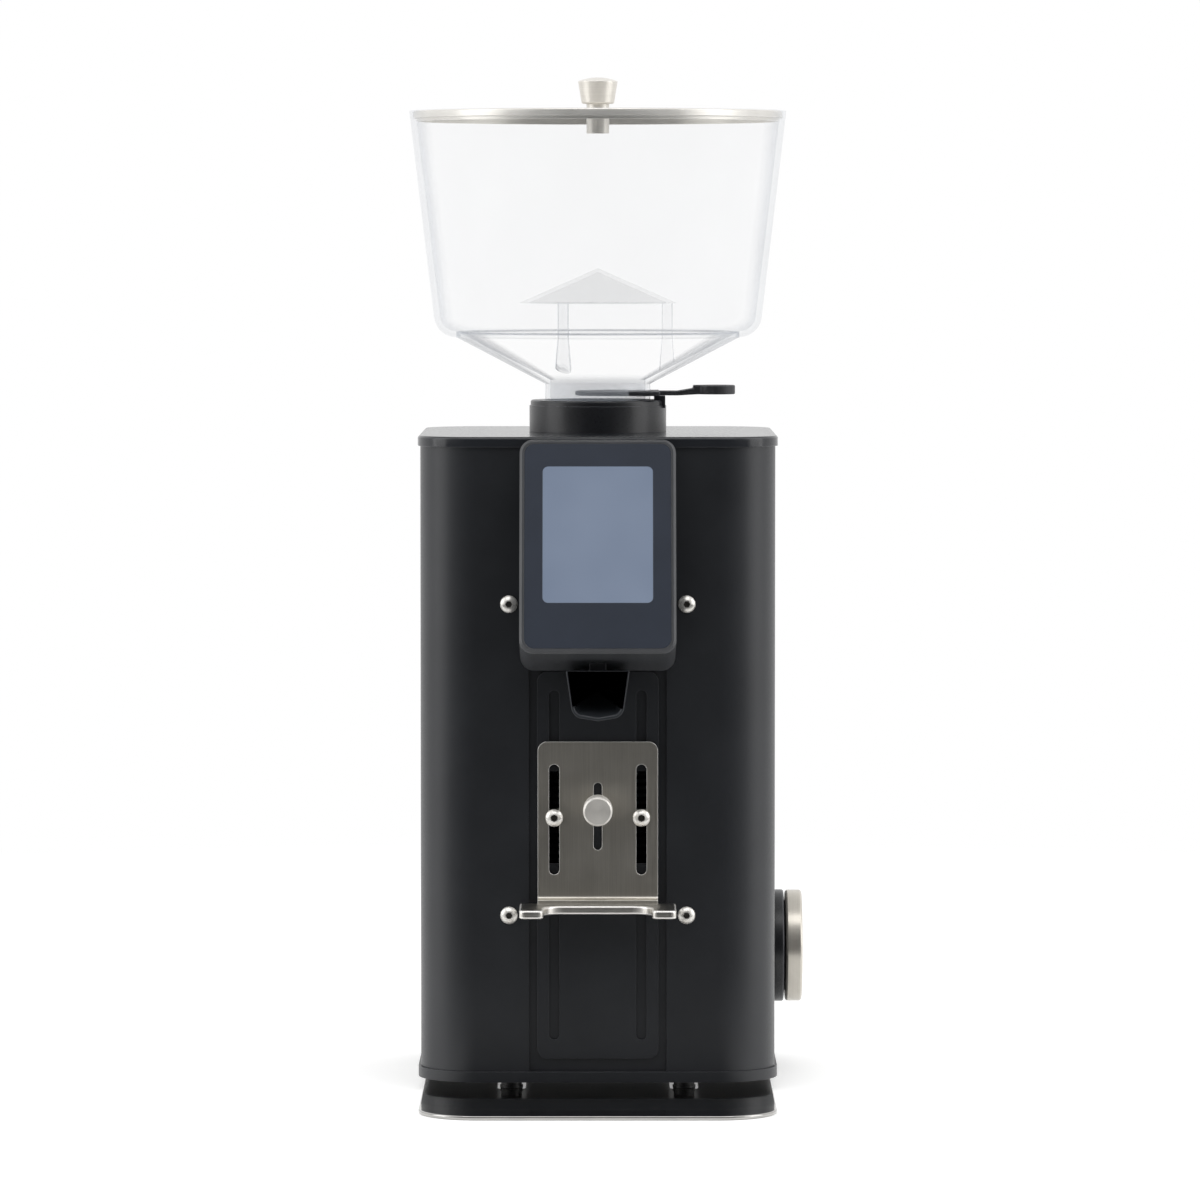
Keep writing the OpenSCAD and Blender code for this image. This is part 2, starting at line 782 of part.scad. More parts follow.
module display_screen() {
    color("#7c879c") on_face(screen_depth) translate([0, screen_y, 0])
        plate(screen_w - 2 * screen_gap, screen_h - 2 * screen_gap, screen_r - screen_gap,
            glass_t + screen_t);
}

module display_board() {
    color("darkgreen") {
        on_face(board_gap) translate([0, screen_y, 0]) {
            cube([screen_w + 2 * board_rim, screen_h + 3 * board_rim, board_t], center = true);
            translate([-plug_w / 2, -plug_l / 2, board_t / 2])
                cube([plug_w, plug_l, board_gap - screen_depth - board_t / 2]);
        }
    }
}

// ---------------------------------------------------------------- spout

spout_corner_r = 5;
spout_turn = 74;
spout_sag = 1;
channel_lean = 4.8;
y_mouth = y_front - spout_reach;
y_inlet = -chamber_r - 0.5;
z_lip = z_sleeve + spout_lip_h;
z_inlet = z_lip + (y_inlet - y_mouth) * tan(spout_tilt);

// Section of the spout: leaning sides over a curved floor, with round lower corners
module spout_section(g) {
    lean = atan((spout_w - spout_floor_w) / 2 / spout_h);
    corner_x = spout_floor_w / 2 - spout_corner_r;
    corner_z = spout_corner_r + spout_sag;
    r = spout_corner_r + g;
    polygon(concat(
        [[-spout_w / 2 - g, spout_h + g]],
        arc(-corner_x, corner_z, r, 180 + lean, 180 + spout_turn, 6),
        [[0, -g]],
        arc(corner_x, corner_z, r, -spout_turn, -lean, 6),
        [[spout_w / 2 + g, spout_h + g]]
    ));
}

// The spout's tube, grown by g, from inside the chamber's wall to its upright mouth
module spout_tube(g, y0, y1) {
    intersection() {
        translate([0, y_inlet, z_inlet]) rotate([90 + spout_tilt, 0, 0])
            translate([0, 0, -spout_reach]) linear_extrude(spout_reach + body_d) spout_section(g);
        translate([-spout_w, y1, z_sleeve]) cube([2 * spout_w, y0 - y1, sleeve_h]);
    }
}

// Above the channel's edges in front of the body, where the head covers it
module over_channel(g) {
    translate([0, y_front - g, z_head_low - slip + g]) rotate([-channel_lean, 0, 0])
        translate([-spout_w, -2 * spout_reach, 0]) cube([2 * spout_w, 2 * spout_reach, sleeve_h]);
}

// The spout's outside, grown by g: a closed tube inside the body, an open channel in front of it
module spout_outer(g) {
    difference() {
        spout_tube(g, y_inlet, y_mouth);
        over_channel(g);
    }
}

module spout() {
    color("#17181a") difference() {
        spout_outer(0);
        difference() {
            spout_tube(-spout_t, y_inlet + cut, y_mouth - cut);
            // end wall that keeps the grounds out of the head
            translate([-spout_w, y_front - spout_t, z_head_low - slip - spout_t])
                cube([2 * spout_w, 2 * spout_t, sleeve_h]);
        }
    }
}

lamp_inset = 11;
lamp_y = y_front - lamp_inset;
lamp_d = 6;
lamp_drop = 8.9;
lamp_step = 1.2;

module lamp_solid(g) {
    translate([0, lamp_y, z_head_low + lamp_inset * tan(head_tilt) - lamp_drop]) {
        translate([-lamp_w / 2 - g, -lamp_d / 2 - g, lamp_step])
            cube([lamp_w + 2 * g, lamp_d + 2 * g, lamp_drop + head_wall]);
        translate([-lamp_w / 2 + lamp_step, -lamp_d / 2, 0])
            cube([lamp_w - 2 * lamp_step, lamp_d, 2 * lamp_step]);
    }
}

module spout_lamp() {
    color("#1a1b1d") lamp_solid(0);
}

// ---------------------------------------------------------------- portafilter holder

y_bracket = y_panel - guide_t;
y_clamp = y_bracket - bracket_t;
z_fork = z_sleeve + bracket_z;
side_slot_w = 4.5;
side_slot_l = 47.7;
side_slot_low = 12.3;
mid_slot_w = 3.6;
mid_slot_l = 29.1;
mid_slot_low = 23;
bracket_r = 4;
foot_reach = 4.3;
bend_r = 1.8;
fork_gap_w = fork_w - 2 * prong_w;
fork_depth = 32;
fork_bar = 12;
fork_fillet_r = 8.5;
tip_r = 2.5;
screw_end = 1;
y_tip = y_front - fork_reach;

// Slotted upright sheet, bent forward at its lower edge into a short foot
module bracket_plate() {
    color("silver") {
        difference() {
            union() {
                translate([0, 0, z_fork + bracket_h / 2]) facing_front(y_bracket, bracket_t)
                    rounded_rect(bracket_w, bracket_h, bracket_r);
                translate([-bracket_w / 2, y_clamp, z_fork]) cube([bracket_w, bracket_t, 2 * bracket_r]);
            }
            for (x = [-1, 1]) translate([x * slot_x, 0, z_fork + side_slot_low + side_slot_l / 2])
                facing_front(y_bracket + cut, bracket_t + 2 * cut) slot_2d(side_slot_w, side_slot_l);
            translate([0, 0, z_fork + mid_slot_low + mid_slot_l / 2])
                facing_front(y_bracket + cut, bracket_t + 2 * cut) slot_2d(mid_slot_w, mid_slot_l);
        }
        translate([0, y_clamp, z_fork]) rotate([90, 0, 90])
            linear_extrude(bracket_w, center = true) difference() {
                translate([-foot_reach, 0]) square([foot_reach, bracket_t + bend_r]);
                translate([-foot_reach - cut, bracket_t]) square([foot_reach - bend_r + cut, bend_r + cut]);
                translate([-bend_r, bracket_t + bend_r]) circle(bend_r);
            }
    }
}

// Flat fork under the bracket's foot: a crossbar between two prongs
module fork() {
    y_bar = y_tip + fork_depth - fork_bar;
    color("lightgray") translate([0, 0, z_fork - fork_t]) linear_extrude(fork_t) difference() {
        union() {
            translate([-fork_w / 2, y_tip + tip_r]) square([fork_w, fork_depth - tip_r]);
            for (x = [-1, 1]) translate([x * (fork_w - prong_w) / 2, y_tip]) {
                for (c = [-1, 1]) translate([c * (prong_w / 2 - tip_r), tip_r]) circle(tip_r);
                translate([tip_r - prong_w / 2, 0]) square([prong_w - 2 * tip_r, 2 * tip_r]);
            }
        }
        translate([-fork_gap_w / 2, y_tip - cut]) square([fork_gap_w, y_bar - fork_fillet_r - y_tip + cut]);
        translate([0, y_bar - fork_fillet_r]) rounded_rect(fork_gap_w, 2 * fork_fillet_r, fork_fillet_r);
    }
}

// At the clamp screws, +Z out of the bracket's face
module at_clamps() {
    for (x = [-1, 1]) translate([x * slot_x, y_clamp, z_sleeve + clamp_h]) rotate([90, 0, 0]) children();
}

module bracket_screws() {
    color("lightgray") at_clamps() button_screw(bracket_t + guide_t + nut_t + screw_end);
}

module bracket_nuts() {
    color("silver") at_clamps() translate([0, 0, -bracket_t - guide_t - nut_t]) difference() {
        translate([-nut_w / 2, -nut_w / 2, 0]) cube([nut_w, nut_w, nut_t]);
        translate([0, 0, -cut]) cylinder(nut_t + 2 * cut, m4_r + seat_fit, m4_r + seat_fit);
    }
}

// ---------------------------------------------------------------- start button

z_button = z_sleeve + button_h;
stem_r = 1.65;
bush_flange_r = 5.5;
bush_flange_t = 1.4;
collar_t = 1.4;
ring_r = 4.2;
y_bush_back = y_panel + panel_t + bush_flange_t;
y_ring = y_bush_back + slip;
y_ring_back = y_ring + collar_t;
plunger_out = 4;
plunger_in = 3;
plunger_r = 1.2;
plunger_gap = 0.1;
y_stem_end = y_switch - plunger_out;
edge_break = 0.8;
spring_wire = 0.4;
spring_r = 3;
spring_turns = 7;

// Turned about the button's axis, from y towards the back
module on_button_axis(y) {
    translate([0, y, z_button]) rotate([-90, 0, 0]) children();
}

module start_button() {
    face = y_front - button_reach;
    color("lightgray") on_button_axis(face) rotate_extrude() polygon([
        [0, 0], [button_r - edge_break, 0], [button_r, edge_break], [button_r, button_head_l - edge_break],
        [button_r - edge_break, button_head_l], [stem_r, button_head_l],
        [stem_r, y_ring - face], [ring_r, y_ring - face], [ring_r, y_ring_back - face],
        [stem_r, y_ring_back - face], [stem_r, y_stem_end - face], [0, y_stem_end - face]
    ]);
}

// Brass bush that holds the guide plate to the panel
module button_bush() {
    color("goldenrod") on_button_axis(y_bracket) rotate_extrude() polygon([
        [stem_r + run_fit, 0], [bush_r, 0], [bush_r, y_bush_back - bush_flange_t - y_bracket],
        [bush_flange_r, y_bush_back - bush_flange_t - y_bracket], [bush_flange_r, y_bush_back - y_bracket],
        [stem_r + run_fit, y_bush_back - y_bracket]
    ]);
}

// Round wire wound on a helix: rings of points joined into one closed skin
module coil(r, wire, length, turns, steps, sides) {
    pitch = (length - 2 * wire) / turns;
    count = turns * steps;
    points = [
        for (i = [0:count], j = [0:sides - 1])
            let (a = 360 * i / steps, b = 360 * j / sides, q = r + wire * cos(b))
            [q * cos(a), q * sin(a), wire + pitch * i / steps + wire * sin(b)]
    ];
    skin = [
        for (i = [0:count - 1], j = [0:sides - 1])
            let (k = (j + 1) % sides)
            [i * sides + j, i * sides + k, (i + 1) * sides + k, (i + 1) * sides + j]
    ];
    first = [for (j = [sides - 1:-1:0]) j];
    last = [for (j = [0:sides - 1]) count * sides + j];
    polyhedron(points, concat([first], skin, [last]));
}

module button_spring() {
    color("silver") on_button_axis(y_ring_back)
        coil(spring_r, spring_wire, y_switch - y_ring_back, spring_turns, 12, 6);
}

module micro_switch() {
    color("#202020") difference() {
        translate([-tab_x, y_switch, z_button - switch_h / 2]) cube([2 * tab_x, switch_d, switch_h]);
        on_button_axis(y_switch - cut) cylinder(cut + plunger_in + button_travel + slip,
            plunger_r + plunger_gap, plunger_r + plunger_gap);
    }
}

module switch_plunger() {
    color("crimson") on_button_axis(y_stem_end) cylinder(plunger_out + plunger_in, plunger_r, plunger_r);
}

// ---------------------------------------------------------------- grind dial

dial_plate_t = 0.8;
dial_plate_r = 26;
index_w = 12;
index_top = 34.5;
collar_x = x_side + dial_plate_t;
ring_gap = 0.7;
hub_r = 20;
ring_cap = 1.5;
collar_w = 4.4;
collar_over = 0.1;
collar_edge = 0.5;
x_hub = collar_x + collar_w + slip;
x_ring = collar_x + collar_w + ring_gap;
x_ring_face = x_ring + dial_t;
lug_t = 6;
lug_wall = 5;
bush_out_r = 6;
x_lug_right = 60;
x_lug_left = -45;
left_journal_r = lead_r - 1;
frame_w = 40;
frame_low_t = 4;
table_z = 20;
wedge_l = 52;
wedge_w = 24;
wedge_way = 5;
rail_w = (frame_w - wedge_w) / 2 - slip;
rail_h = 4;
shoulder_t = 2;
shoulder_r = bush_out_r + 1.5;

// Thin plate on the body's side; its upper tab is the index mark's carrier
module dial_plate() {
    color("#303236") on_dial_axis(x_side) linear_extrude(dial_plate_t) difference() {
        union() {
            circle(dial_plate_r);
            translate([-index_top, -index_w / 2]) square([index_top, index_w]);
        }
        circle(lead_r + slip);
    }
}

module dial_collar() {
    out_r = dial_r + collar_over;
    color("#1d1e20") on_dial_axis(collar_x) rotate_extrude() polygon([
        [lead_r + slip, 0], [out_r, 0], [out_r, collar_w - collar_edge], [out_r - collar_edge, collar_w],
        [lead_r + slip, collar_w]
    ]);
}

// Satin steel ring with a closed outer face
module dial_knob() {
    color("lightgray") on_dial_axis(x_ring) rotate_extrude() polygon([
        [hub_r + seat_fit, 0], [dial_r - edge_break, 0], [dial_r, edge_break],
        [dial_r, dial_t - edge_break], [dial_r - edge_break, dial_t], [0, dial_t],
        [0, dial_t - ring_cap], [hub_r + seat_fit, dial_t - ring_cap]
    ]);
}

module dial_hub() {
    hub_l = x_ring_face - ring_cap - x_hub;
    color("#151617") on_dial_axis(x_hub) difference() {
        cylinder(hub_l, hub_r, hub_r);
        translate([0, 0, -cut]) cylinder(hub_l + 2 * cut, lead_r + seat_fit, lead_r + seat_fit);
    }
}

// Lead screw: a journal at each end, and two shoulders that hold it lengthwise
module dial_shaft() {
    x_screw = x_lug_left + lug_t + slip;
    x_near = x_lug_right - slip;
    x_far = x_lug_right + lug_t + slip;
    color("silver") {
        on_dial_axis(x_lug_left) cylinder(lug_t + 1, left_journal_r, left_journal_r);
        on_dial_axis(x_screw) cylinder(x_ring_face - ring_cap - x_screw, lead_r, lead_r);
        on_dial_axis(x_near - shoulder_t) cylinder(shoulder_t, shoulder_r, shoulder_r);
        on_dial_axis(x_near) cylinder(x_far - x_near, bush_out_r, bush_out_r);
        on_dial_axis(x_far) cylinder(shoulder_t, shoulder_r, shoulder_r);
    }
}

// Machined cradle on the base plate: two bearing lugs and the table that the wedge slides on
module adjust_frame() {
    lug_h = dial_h + bush_out_r + lug_wall;
    lug_w = 2 * (bush_out_r + lug_wall);
    frame_l = x_lug_right + lug_t - x_lug_left;
    table_l = wedge_l + 2 * wedge_way;
    color("gainsboro") difference() {
        translate([0, 0, z_sleeve]) {
            translate([x_lug_left, -frame_w / 2, 0]) cube([frame_l, frame_w, frame_low_t]);
            for (x = [x_lug_left, x_lug_right]) translate([x, -lug_w / 2, 0]) cube([lug_t, lug_w, lug_h]);
            translate([-table_l / 2, -frame_w / 2, 0]) cube([table_l, frame_w, table_z]);
            for (y = [-frame_w / 2, frame_w / 2 - rail_w]) translate([-table_l / 2, y, 0])
                cube([table_l, rail_w, table_z + rail_h]);
        }
        on_dial_axis(x_lug_left - cut)
            cylinder(lug_t + 2 * cut, left_journal_r + run_fit, left_journal_r + run_fit);
        on_dial_axis(x_lug_right - cut)
            cylinder(lug_t + 2 * cut, bush_out_r + run_fit, bush_out_r + run_fit);
    }
}

z_ramp = z_sleeve + dial_h + ramp_rise;

// Wedge driven along the lead screw; its sloping top lifts the push rod
module adjust_wedge() {
    top = dial_h + ramp_rise;
    drop = wedge_slope * wedge_l / 2;
    color("goldenrod") difference() {
        translate([0, wedge_w / 2, z_sleeve]) rotate([90, 0, 0]) linear_extrude(wedge_w) polygon([
            [-wedge_l / 2, table_z], [wedge_l / 2, table_z], [wedge_l / 2, top - drop],
            [-wedge_l / 2, top + drop]
        ]);
        on_dial_axis(-wedge_l) cylinder(2 * wedge_l, lead_r + run_fit, lead_r + run_fit);
    }
}

// ---------------------------------------------------------------- motor

z_motor_plate = z_sleeve + motor_z;
z_chamber = z_motor_plate + motor_plate_t;
cap_h = 22;
low_cap_h = 12;
cap_wall = 5;
cap_skin = 4;
bearing_r = 17.5;
bearing_h = 8;
bearing_lip = 3;
seat_wall = 4;
plate_rim = 3;
plate_r = 12;
z_stator = z_motor_plate - cap_h - stator_h;
z_low_cap = z_stator - low_cap_h;
stator_wall = 23;
stator_bore_r = motor_r - stator_wall;
stator_slots = 16;
stator_slot_w = 3.4;
stator_slot_l = 9;
stator_tip = 1.5;
coil_gap = 3;
coil_step = 2;
air_gap = 0.5;
rotor_short = 2;
rotor_bars = 22;
rotor_bar_r = 1.3;
rotor_bar_in = 3.2;
rod_r = 3;
fan_h = 7;
fan_gap = 1;
fan_blades = 9;
fan_t = 1.6;
fan_hub = 4;
fan_r = motor_r - 10;
fan_disc_r = fan_r - 12;
z_fan = z_low_cap - fan_gap - fan_h;

module motor_plate() {
    w = 2 * (x_side - post_inset + post_r + plate_rim);
    d = 2 * (y_back - post_inset + post_r);
    color("gainsboro") difference() {
        translate([0, 0, z_motor_plate]) plate(w, d, plate_r, motor_plate_t);
        at_posts(z_motor_plate - cut)
            cylinder(motor_plate_t + 2 * cut, post_neck_r + seat_fit, post_neck_r + seat_fit);
        translate([0, 0, z_motor_plate - cut])
            cylinder(motor_plate_t + 2 * cut, bearing_r - bearing_lip, bearing_r - bearing_lip);
        spout_outer(slip);
    }
}

// Laminated ring with wound slots
module motor_stator() {
    color("#4a4e55") translate([0, 0, z_stator]) linear_extrude(stator_h) difference() {
        circle(motor_r);
        circle(stator_bore_r);
        for (i = [0:stator_slots - 1]) rotate(i * 360 / stator_slots)
            translate([stator_bore_r + stator_tip, -stator_slot_w / 2])
                square([stator_slot_l, stator_slot_w]);
    }
}

module motor_coils() {
    coil_in = stator_bore_r + coil_gap;
    coil_w = motor_r - cap_wall - coil_step - coil_in;
    coil_h = low_cap_h - cap_skin - 1;
    color("#b87333") for (z = [z_stator - coil_h, z_stator + stator_h])
        translate([0, 0, z]) rotate_extrude() {
            translate([coil_in, 0]) square([coil_w, coil_h - coil_step]);
            translate([coil_in + coil_step, 0]) square([coil_w - 2 * coil_step, coil_h]);
        }
}

module end_cap(h, top_bearing) {
    difference() {
        cylinder(h, motor_r, motor_r);
        translate([0, 0, top_bearing ? -cut : cap_skin])
            cylinder(h - cap_skin + cut, motor_r - cap_wall, motor_r - cap_wall);
    }
}

module bearing_seat(h) {
    difference() {
        cylinder(h, bearing_r + seat_wall, bearing_r + seat_wall);
        translate([0, 0, -cut]) cylinder(h + 2 * cut, bearing_r + seat_fit, bearing_r + seat_fit);
    }
}

module lower_end_cap() {
    color("gainsboro") translate([0, 0, z_low_cap]) {
        difference() {
            end_cap(low_cap_h, false);
            translate([0, 0, -cut])
                cylinder(low_cap_h + 2 * cut, bearing_r + seat_wall / 2, bearing_r + seat_wall / 2);
        }
        bearing_seat(bearing_h);
    }
}

module upper_end_cap() {
    color("gainsboro") translate([0, 0, z_motor_plate - cap_h]) {
        difference() {
            end_cap(cap_h, true);
            translate([0, 0, -cut])
                cylinder(cap_h + 2 * cut, bearing_r + seat_wall / 2, bearing_r + seat_wall / 2);
        }
        translate([0, 0, cap_h - bearing_h]) bearing_seat(bearing_h);
    }
}

module motor_bearings() {
    color("silver") for (z = [z_low_cap, z_motor_plate - bearing_h]) translate([0, 0, z]) difference() {
        cylinder(bearing_h, bearing_r, bearing_r);
        translate([0, 0, -cut]) cylinder(bearing_h + 2 * cut, shaft_r + run_fit, shaft_r + run_fit);
    }
}

chamber_floor = 5;
chamber_hole_r = shaft_r + 0.5;
spout_bite = 6;
carrier_t = 8;
carrier_gap = 3;
z_carrier = z_chamber + chamber_floor + carrier_gap;
z_lower_burr = z_carrier + carrier_t;
z_upper_burr = z_lower_burr + burr_t + burr_gap;
z_upper_carrier = z_upper_burr + burr_t;
upper_carrier_h = 24;
z_carrier_top = z_upper_carrier + upper_carrier_h;
throat_step = 4;
drive_r = shaft_r - 2.5;
drive_l = 10.5;
drive_top = z_carrier + drive_l;
web_gap = 1.2;
web_t = 3;
z_web = drive_top + web_gap;
key_w = 3;
key_h = 2;
key_gap = 0.1;
hub_out_r = 13;

// Hollow shaft; its keyed upper end drives the burr carrier
module motor_shaft() {
    z_step = z_chamber + chamber_floor;
    color("silver") difference() {
        union() {
            translate([0, 0, z_fan]) cylinder(z_step - z_fan, shaft_r, shaft_r);
            translate([0, 0, z_fan]) cylinder(drive_top - z_fan, drive_r, drive_r);
            translate([-drive_r - key_h, -key_w / 2, z_step - cut])
                cube([2 * (drive_r + key_h), key_w, drive_top - z_step + cut]);
        }
        translate([0, 0, z_fan - cut])
            cylinder(drive_top - z_fan + 2 * cut, rod_r + run_fit, rod_r + run_fit);
    }
}

module motor_rotor() {
    rotor_r = stator_bore_r - air_gap;
    rotor_h = stator_h - 2 * rotor_short;
    color("#5b6068") translate([0, 0, z_stator + rotor_short]) linear_extrude(rotor_h) difference() {
        circle(rotor_r);
        circle(shaft_r + seat_fit);
        for (i = [0:rotor_bars - 1]) rotate(i * 360 / rotor_bars)
            translate([rotor_r - rotor_bar_in, 0]) circle(rotor_bar_r);
    }
}

// Cooling fan under the motor
module motor_fan() {
    color("#202224") translate([0, 0, z_fan]) difference() {
        union() {
            cylinder(fan_h, shaft_r + fan_hub, shaft_r + fan_hub);
            cylinder(fan_t, fan_disc_r, fan_disc_r);
            for (i = [0:fan_blades - 1]) rotate(i * 360 / fan_blades)
                translate([shaft_r + fan_hub / 2, -fan_t / 2, 0])
                    cube([fan_r - shaft_r - fan_hub / 2, fan_t, fan_h]);
        }
        translate([0, 0, -cut]) cylinder(fan_h + 2 * cut, shaft_r + seat_fit, shaft_r + seat_fit);
    }
}

// ---------------------------------------------------------------- burrs

// Cast chamber on the motor plate; the spout enters through its front wall
module burr_housing() {
    color("gainsboro") difference() {
        translate([0, 0, z_chamber])
            cylinder(z_carrier_top - z_chamber, chamber_r + chamber_t, chamber_r + chamber_t);
        translate([0, 0, z_chamber + chamber_floor])
            cylinder(z_carrier_top - z_chamber, chamber_r, chamber_r);
        translate([0, 0, z_chamber - cut]) cylinder(chamber_floor + 2 * cut, chamber_hole_r, chamber_hole_r);
        spout_tube(seat_fit, -chamber_r + spout_bite, y_front);
    }
}

module upper_burr_carrier() {
    color("gainsboro") translate([0, 0, z_upper_burr]) rotate_extrude() difference() {
        translate([burr_bore_r, 0]) square([chamber_r - seat_fit - burr_bore_r, upper_carrier_h + burr_t]);
        translate([0, -cut]) square([burr_r + seat_fit, burr_t + cut]);
        translate([0, upper_carrier_h + burr_t - throat_step]) square([throat_r, throat_step + cut]);
    }
}

breaker_count = 8;
breaker_l = 12;
breaker_w = 3.2;
breaker_deep = 4.2;
breaker_dip = 14;
breaker_turn = 16;
burr_dish = 2.6;
tooth_l = 14;
tooth_w = 1.5;
tooth_deep = 1.5;
tooth_ring = 8.5;
tooth_lean = 38;
tooth_dip = 4;
tooth_turn = 24;
flat_w = 5;

// Flat burr, cutting face up: eight deep breaker flutes inside, fine slanted teeth outside
module burr() {
    color("silver") difference() {
        rotate_extrude() polygon([
            [burr_bore_r, 0], [burr_r, 0], [burr_r, burr_t], [burr_r - flat_w, burr_t],
            [burr_bore_r, burr_t - burr_dish]
        ]);
        for (i = [0:breaker_count - 1]) rotate(i * 360 / breaker_count)
            translate([burr_bore_r - breaker_l / 4, -breaker_w / 2, burr_t - breaker_deep])
                rotate([0, -breaker_dip, breaker_turn]) cube([breaker_l, breaker_w, breaker_deep + cut]);
        for (i = [0:tooth_count - 1]) rotate(i * 360 / tooth_count)
            translate([burr_r - tooth_ring, 0, burr_t - tooth_deep])
                rotate([tooth_lean, -tooth_dip, tooth_turn]) cube([tooth_l, tooth_w, 2 * tooth_deep]);
    }
}

module lower_burr() {
    translate([0, 0, z_lower_burr]) burr();
}

module upper_burr() {
    translate([0, 0, z_upper_burr + burr_t]) rotate([180, 0, 0]) burr();
}

sweeper_count = 3;
sweeper_w = 5;
sweeper_in = burr_r - 2;
sweeper_out = chamber_r - slip - 1;
carrier_r = burr_r + 1;

// Carrier with three sweepers; it slides on the shaft's key and hangs on the push rod
module lower_burr_carrier() {
    way_l = z_web - z_carrier + cut;
    key_way = drive_r + key_h + key_gap;
    color("gainsboro") translate([0, 0, z_carrier]) difference() {
        union() {
            cylinder(carrier_t, carrier_r, carrier_r);
            cylinder(z_web + web_t - z_carrier, hub_out_r, hub_out_r);
            for (i = [0:sweeper_count - 1]) rotate(i * 360 / sweeper_count)
                translate([sweeper_in, -sweeper_w / 2, 0])
                    cube([sweeper_out - sweeper_in, sweeper_w, carrier_t]);
        }
        translate([0, 0, -cut]) cylinder(way_l, drive_r + run_fit, drive_r + run_fit);
        translate([-key_way, -key_w / 2 - key_gap, -cut]) cube([2 * key_way, key_w + 2 * key_gap, way_l]);
        cylinder(z_web + web_t - z_carrier + cut, rod_r + seat_fit, rod_r + seat_fit);
    }
}

rod_gap = 0.1;

// Rod through the hollow shaft, from the wedge's ramp up to the burr carrier
module push_rod() {
    z_low = z_ramp + rod_r * wedge_slope + rod_gap;
    color("silver") translate([0, 0, z_low]) cylinder(z_web + web_t - z_low, rod_r, rod_r);
}

// ---------------------------------------------------------------- electrics

board_y = 26;
board_d = 30;
board_w = 84;
standoff_h = 8;
standoff_r = 2.5;
standoff_in = 4;
transformer = [26, 22, 16];
relay = [16, 12, 12];
capacitor_r = 6;
capacitor_h = 18;

module control_board() {
    color("darkgreen") translate([-board_w / 2, board_y, z_sleeve]) {
        translate([0, 0, standoff_h]) cube([board_w, board_d, board_t]);
        for (x = [standoff_in, board_w - standoff_in], y = [standoff_in, board_d - standoff_in])
            translate([x, y, 0]) cylinder(standoff_h, standoff_r, standoff_r);
        translate([standoff_in, standoff_in, standoff_h]) cube(transformer);
        translate([2 * standoff_in + transformer[0], standoff_in, standoff_h]) cube(relay);
        translate([board_w - 2 * capacitor_r, board_d / 2, standoff_h])
            cylinder(capacitor_h, capacitor_r, capacitor_r);
    }
}

flange_t = 2;
flange_rim = 2.5;
flange_r = 3;
hole_gap = 0.2;
inlet_deep = 18;
inlet_wall = 1.5;
inlet_floor = 4;
pin_pitch = 7;
pin_w = 2;
pin_h = 4;
pin_l = 13;
pin_low = 3;
earth_low = 1;

module power_inlet() {
    color("#1a1a1c") translate([inlet_x, y_back, z_sleeve + inlet_z]) {
        difference() {
            union() {
                translate([0, flange_t, 0]) rotate([90, 0, 0]) linear_extrude(flange_t)
                    rounded_rect(inlet_w + 2 * flange_rim, inlet_h + 2 * flange_rim, flange_r);
                rotate([90, 0, 0]) linear_extrude(inlet_deep)
                    rounded_rect(inlet_w - 2 * hole_gap, inlet_h - 2 * hole_gap, inlet_r - hole_gap);
            }
            translate([0, flange_t + cut, 0]) rotate([90, 0, 0])
                linear_extrude(inlet_deep + flange_t + cut - inlet_floor)
                    rounded_rect(inlet_w - 2 * (hole_gap + inlet_wall), inlet_h - 2 * (hole_gap + inlet_wall),
                        inlet_r - hole_gap);
        }
        for (i = [-1:1])
            translate([i * pin_pitch - pin_w / 2, inlet_floor / 2 - inlet_deep,
                i == 0 ? earth_low : -pin_low])
                cube([pin_w, pin_l, pin_h]);
    }
}

switch_deep = 20;
rocker_r = 5;
rocker_dip = 0.8;
rocker_deep = 4;
rocker_lean = 8;
rocker_out = 7;
rocker_half_h = 4.2;
rocker_way_h = 5.45;
rocker_l = 15.8;
rocker_way_l = rocker_l + 2 * slip;
pivot_r = 1.5;
pivot_l = 0.8;

// At the rocker's pivot, +X along it, +Y outwards
module at_rocker() {
    translate([rocker_x, y_back - rocker_deep, z_sleeve + inlet_z]) children();
}

module switch_body() {
    color("#1a1a1c") difference() {
        translate([rocker_x, y_back + flange_t, z_sleeve + inlet_z]) rotate([90, 0, 0]) {
            linear_extrude(flange_t)
                rounded_rect(rocker_w + 2 * flange_rim, rocker_h + 2 * flange_rim, flange_r / 2);
            linear_extrude(switch_deep + flange_t)
                rounded_rect(rocker_w - 2 * hole_gap, rocker_h - 2 * hole_gap, rocker_hole_r - hole_gap);
        }
        at_rocker() {
            rotate([0, 90, 0]) cylinder(rocker_way_l, rocker_way_h, rocker_way_h, center = true);
            translate([-rocker_way_l / 2, 0, -rocker_way_h])
                cube([rocker_way_l, rocker_deep + flange_t + cut, 2 * rocker_way_h]);
            rotate([0, 90, 0]) cylinder(rocker_w, pivot_r + run_fit, pivot_r + run_fit, center = true);
        }
    }
}

// Rocker with a shallow V for its outer face, resting in its off position
module power_rocker() {
    color("#2a2a2c") at_rocker() {
        rotate([rocker_lean, 0, 0]) {
            rotate([0, 90, 0]) cylinder(rocker_l, rocker_r, rocker_r, center = true);
            rotate([90, 0, 90]) linear_extrude(rocker_l, center = true) polygon([
                [0, -rocker_half_h], [rocker_out, -rocker_half_h], [rocker_out - rocker_dip, 0],
                [rocker_out, rocker_half_h], [0, rocker_half_h]
            ]);
        }
        rotate([0, 90, 0]) cylinder(rocker_l + 2 * (slip + pivot_l), pivot_r, pivot_r, center = true);
    }
}

// ---------------------------------------------------------------- assembly

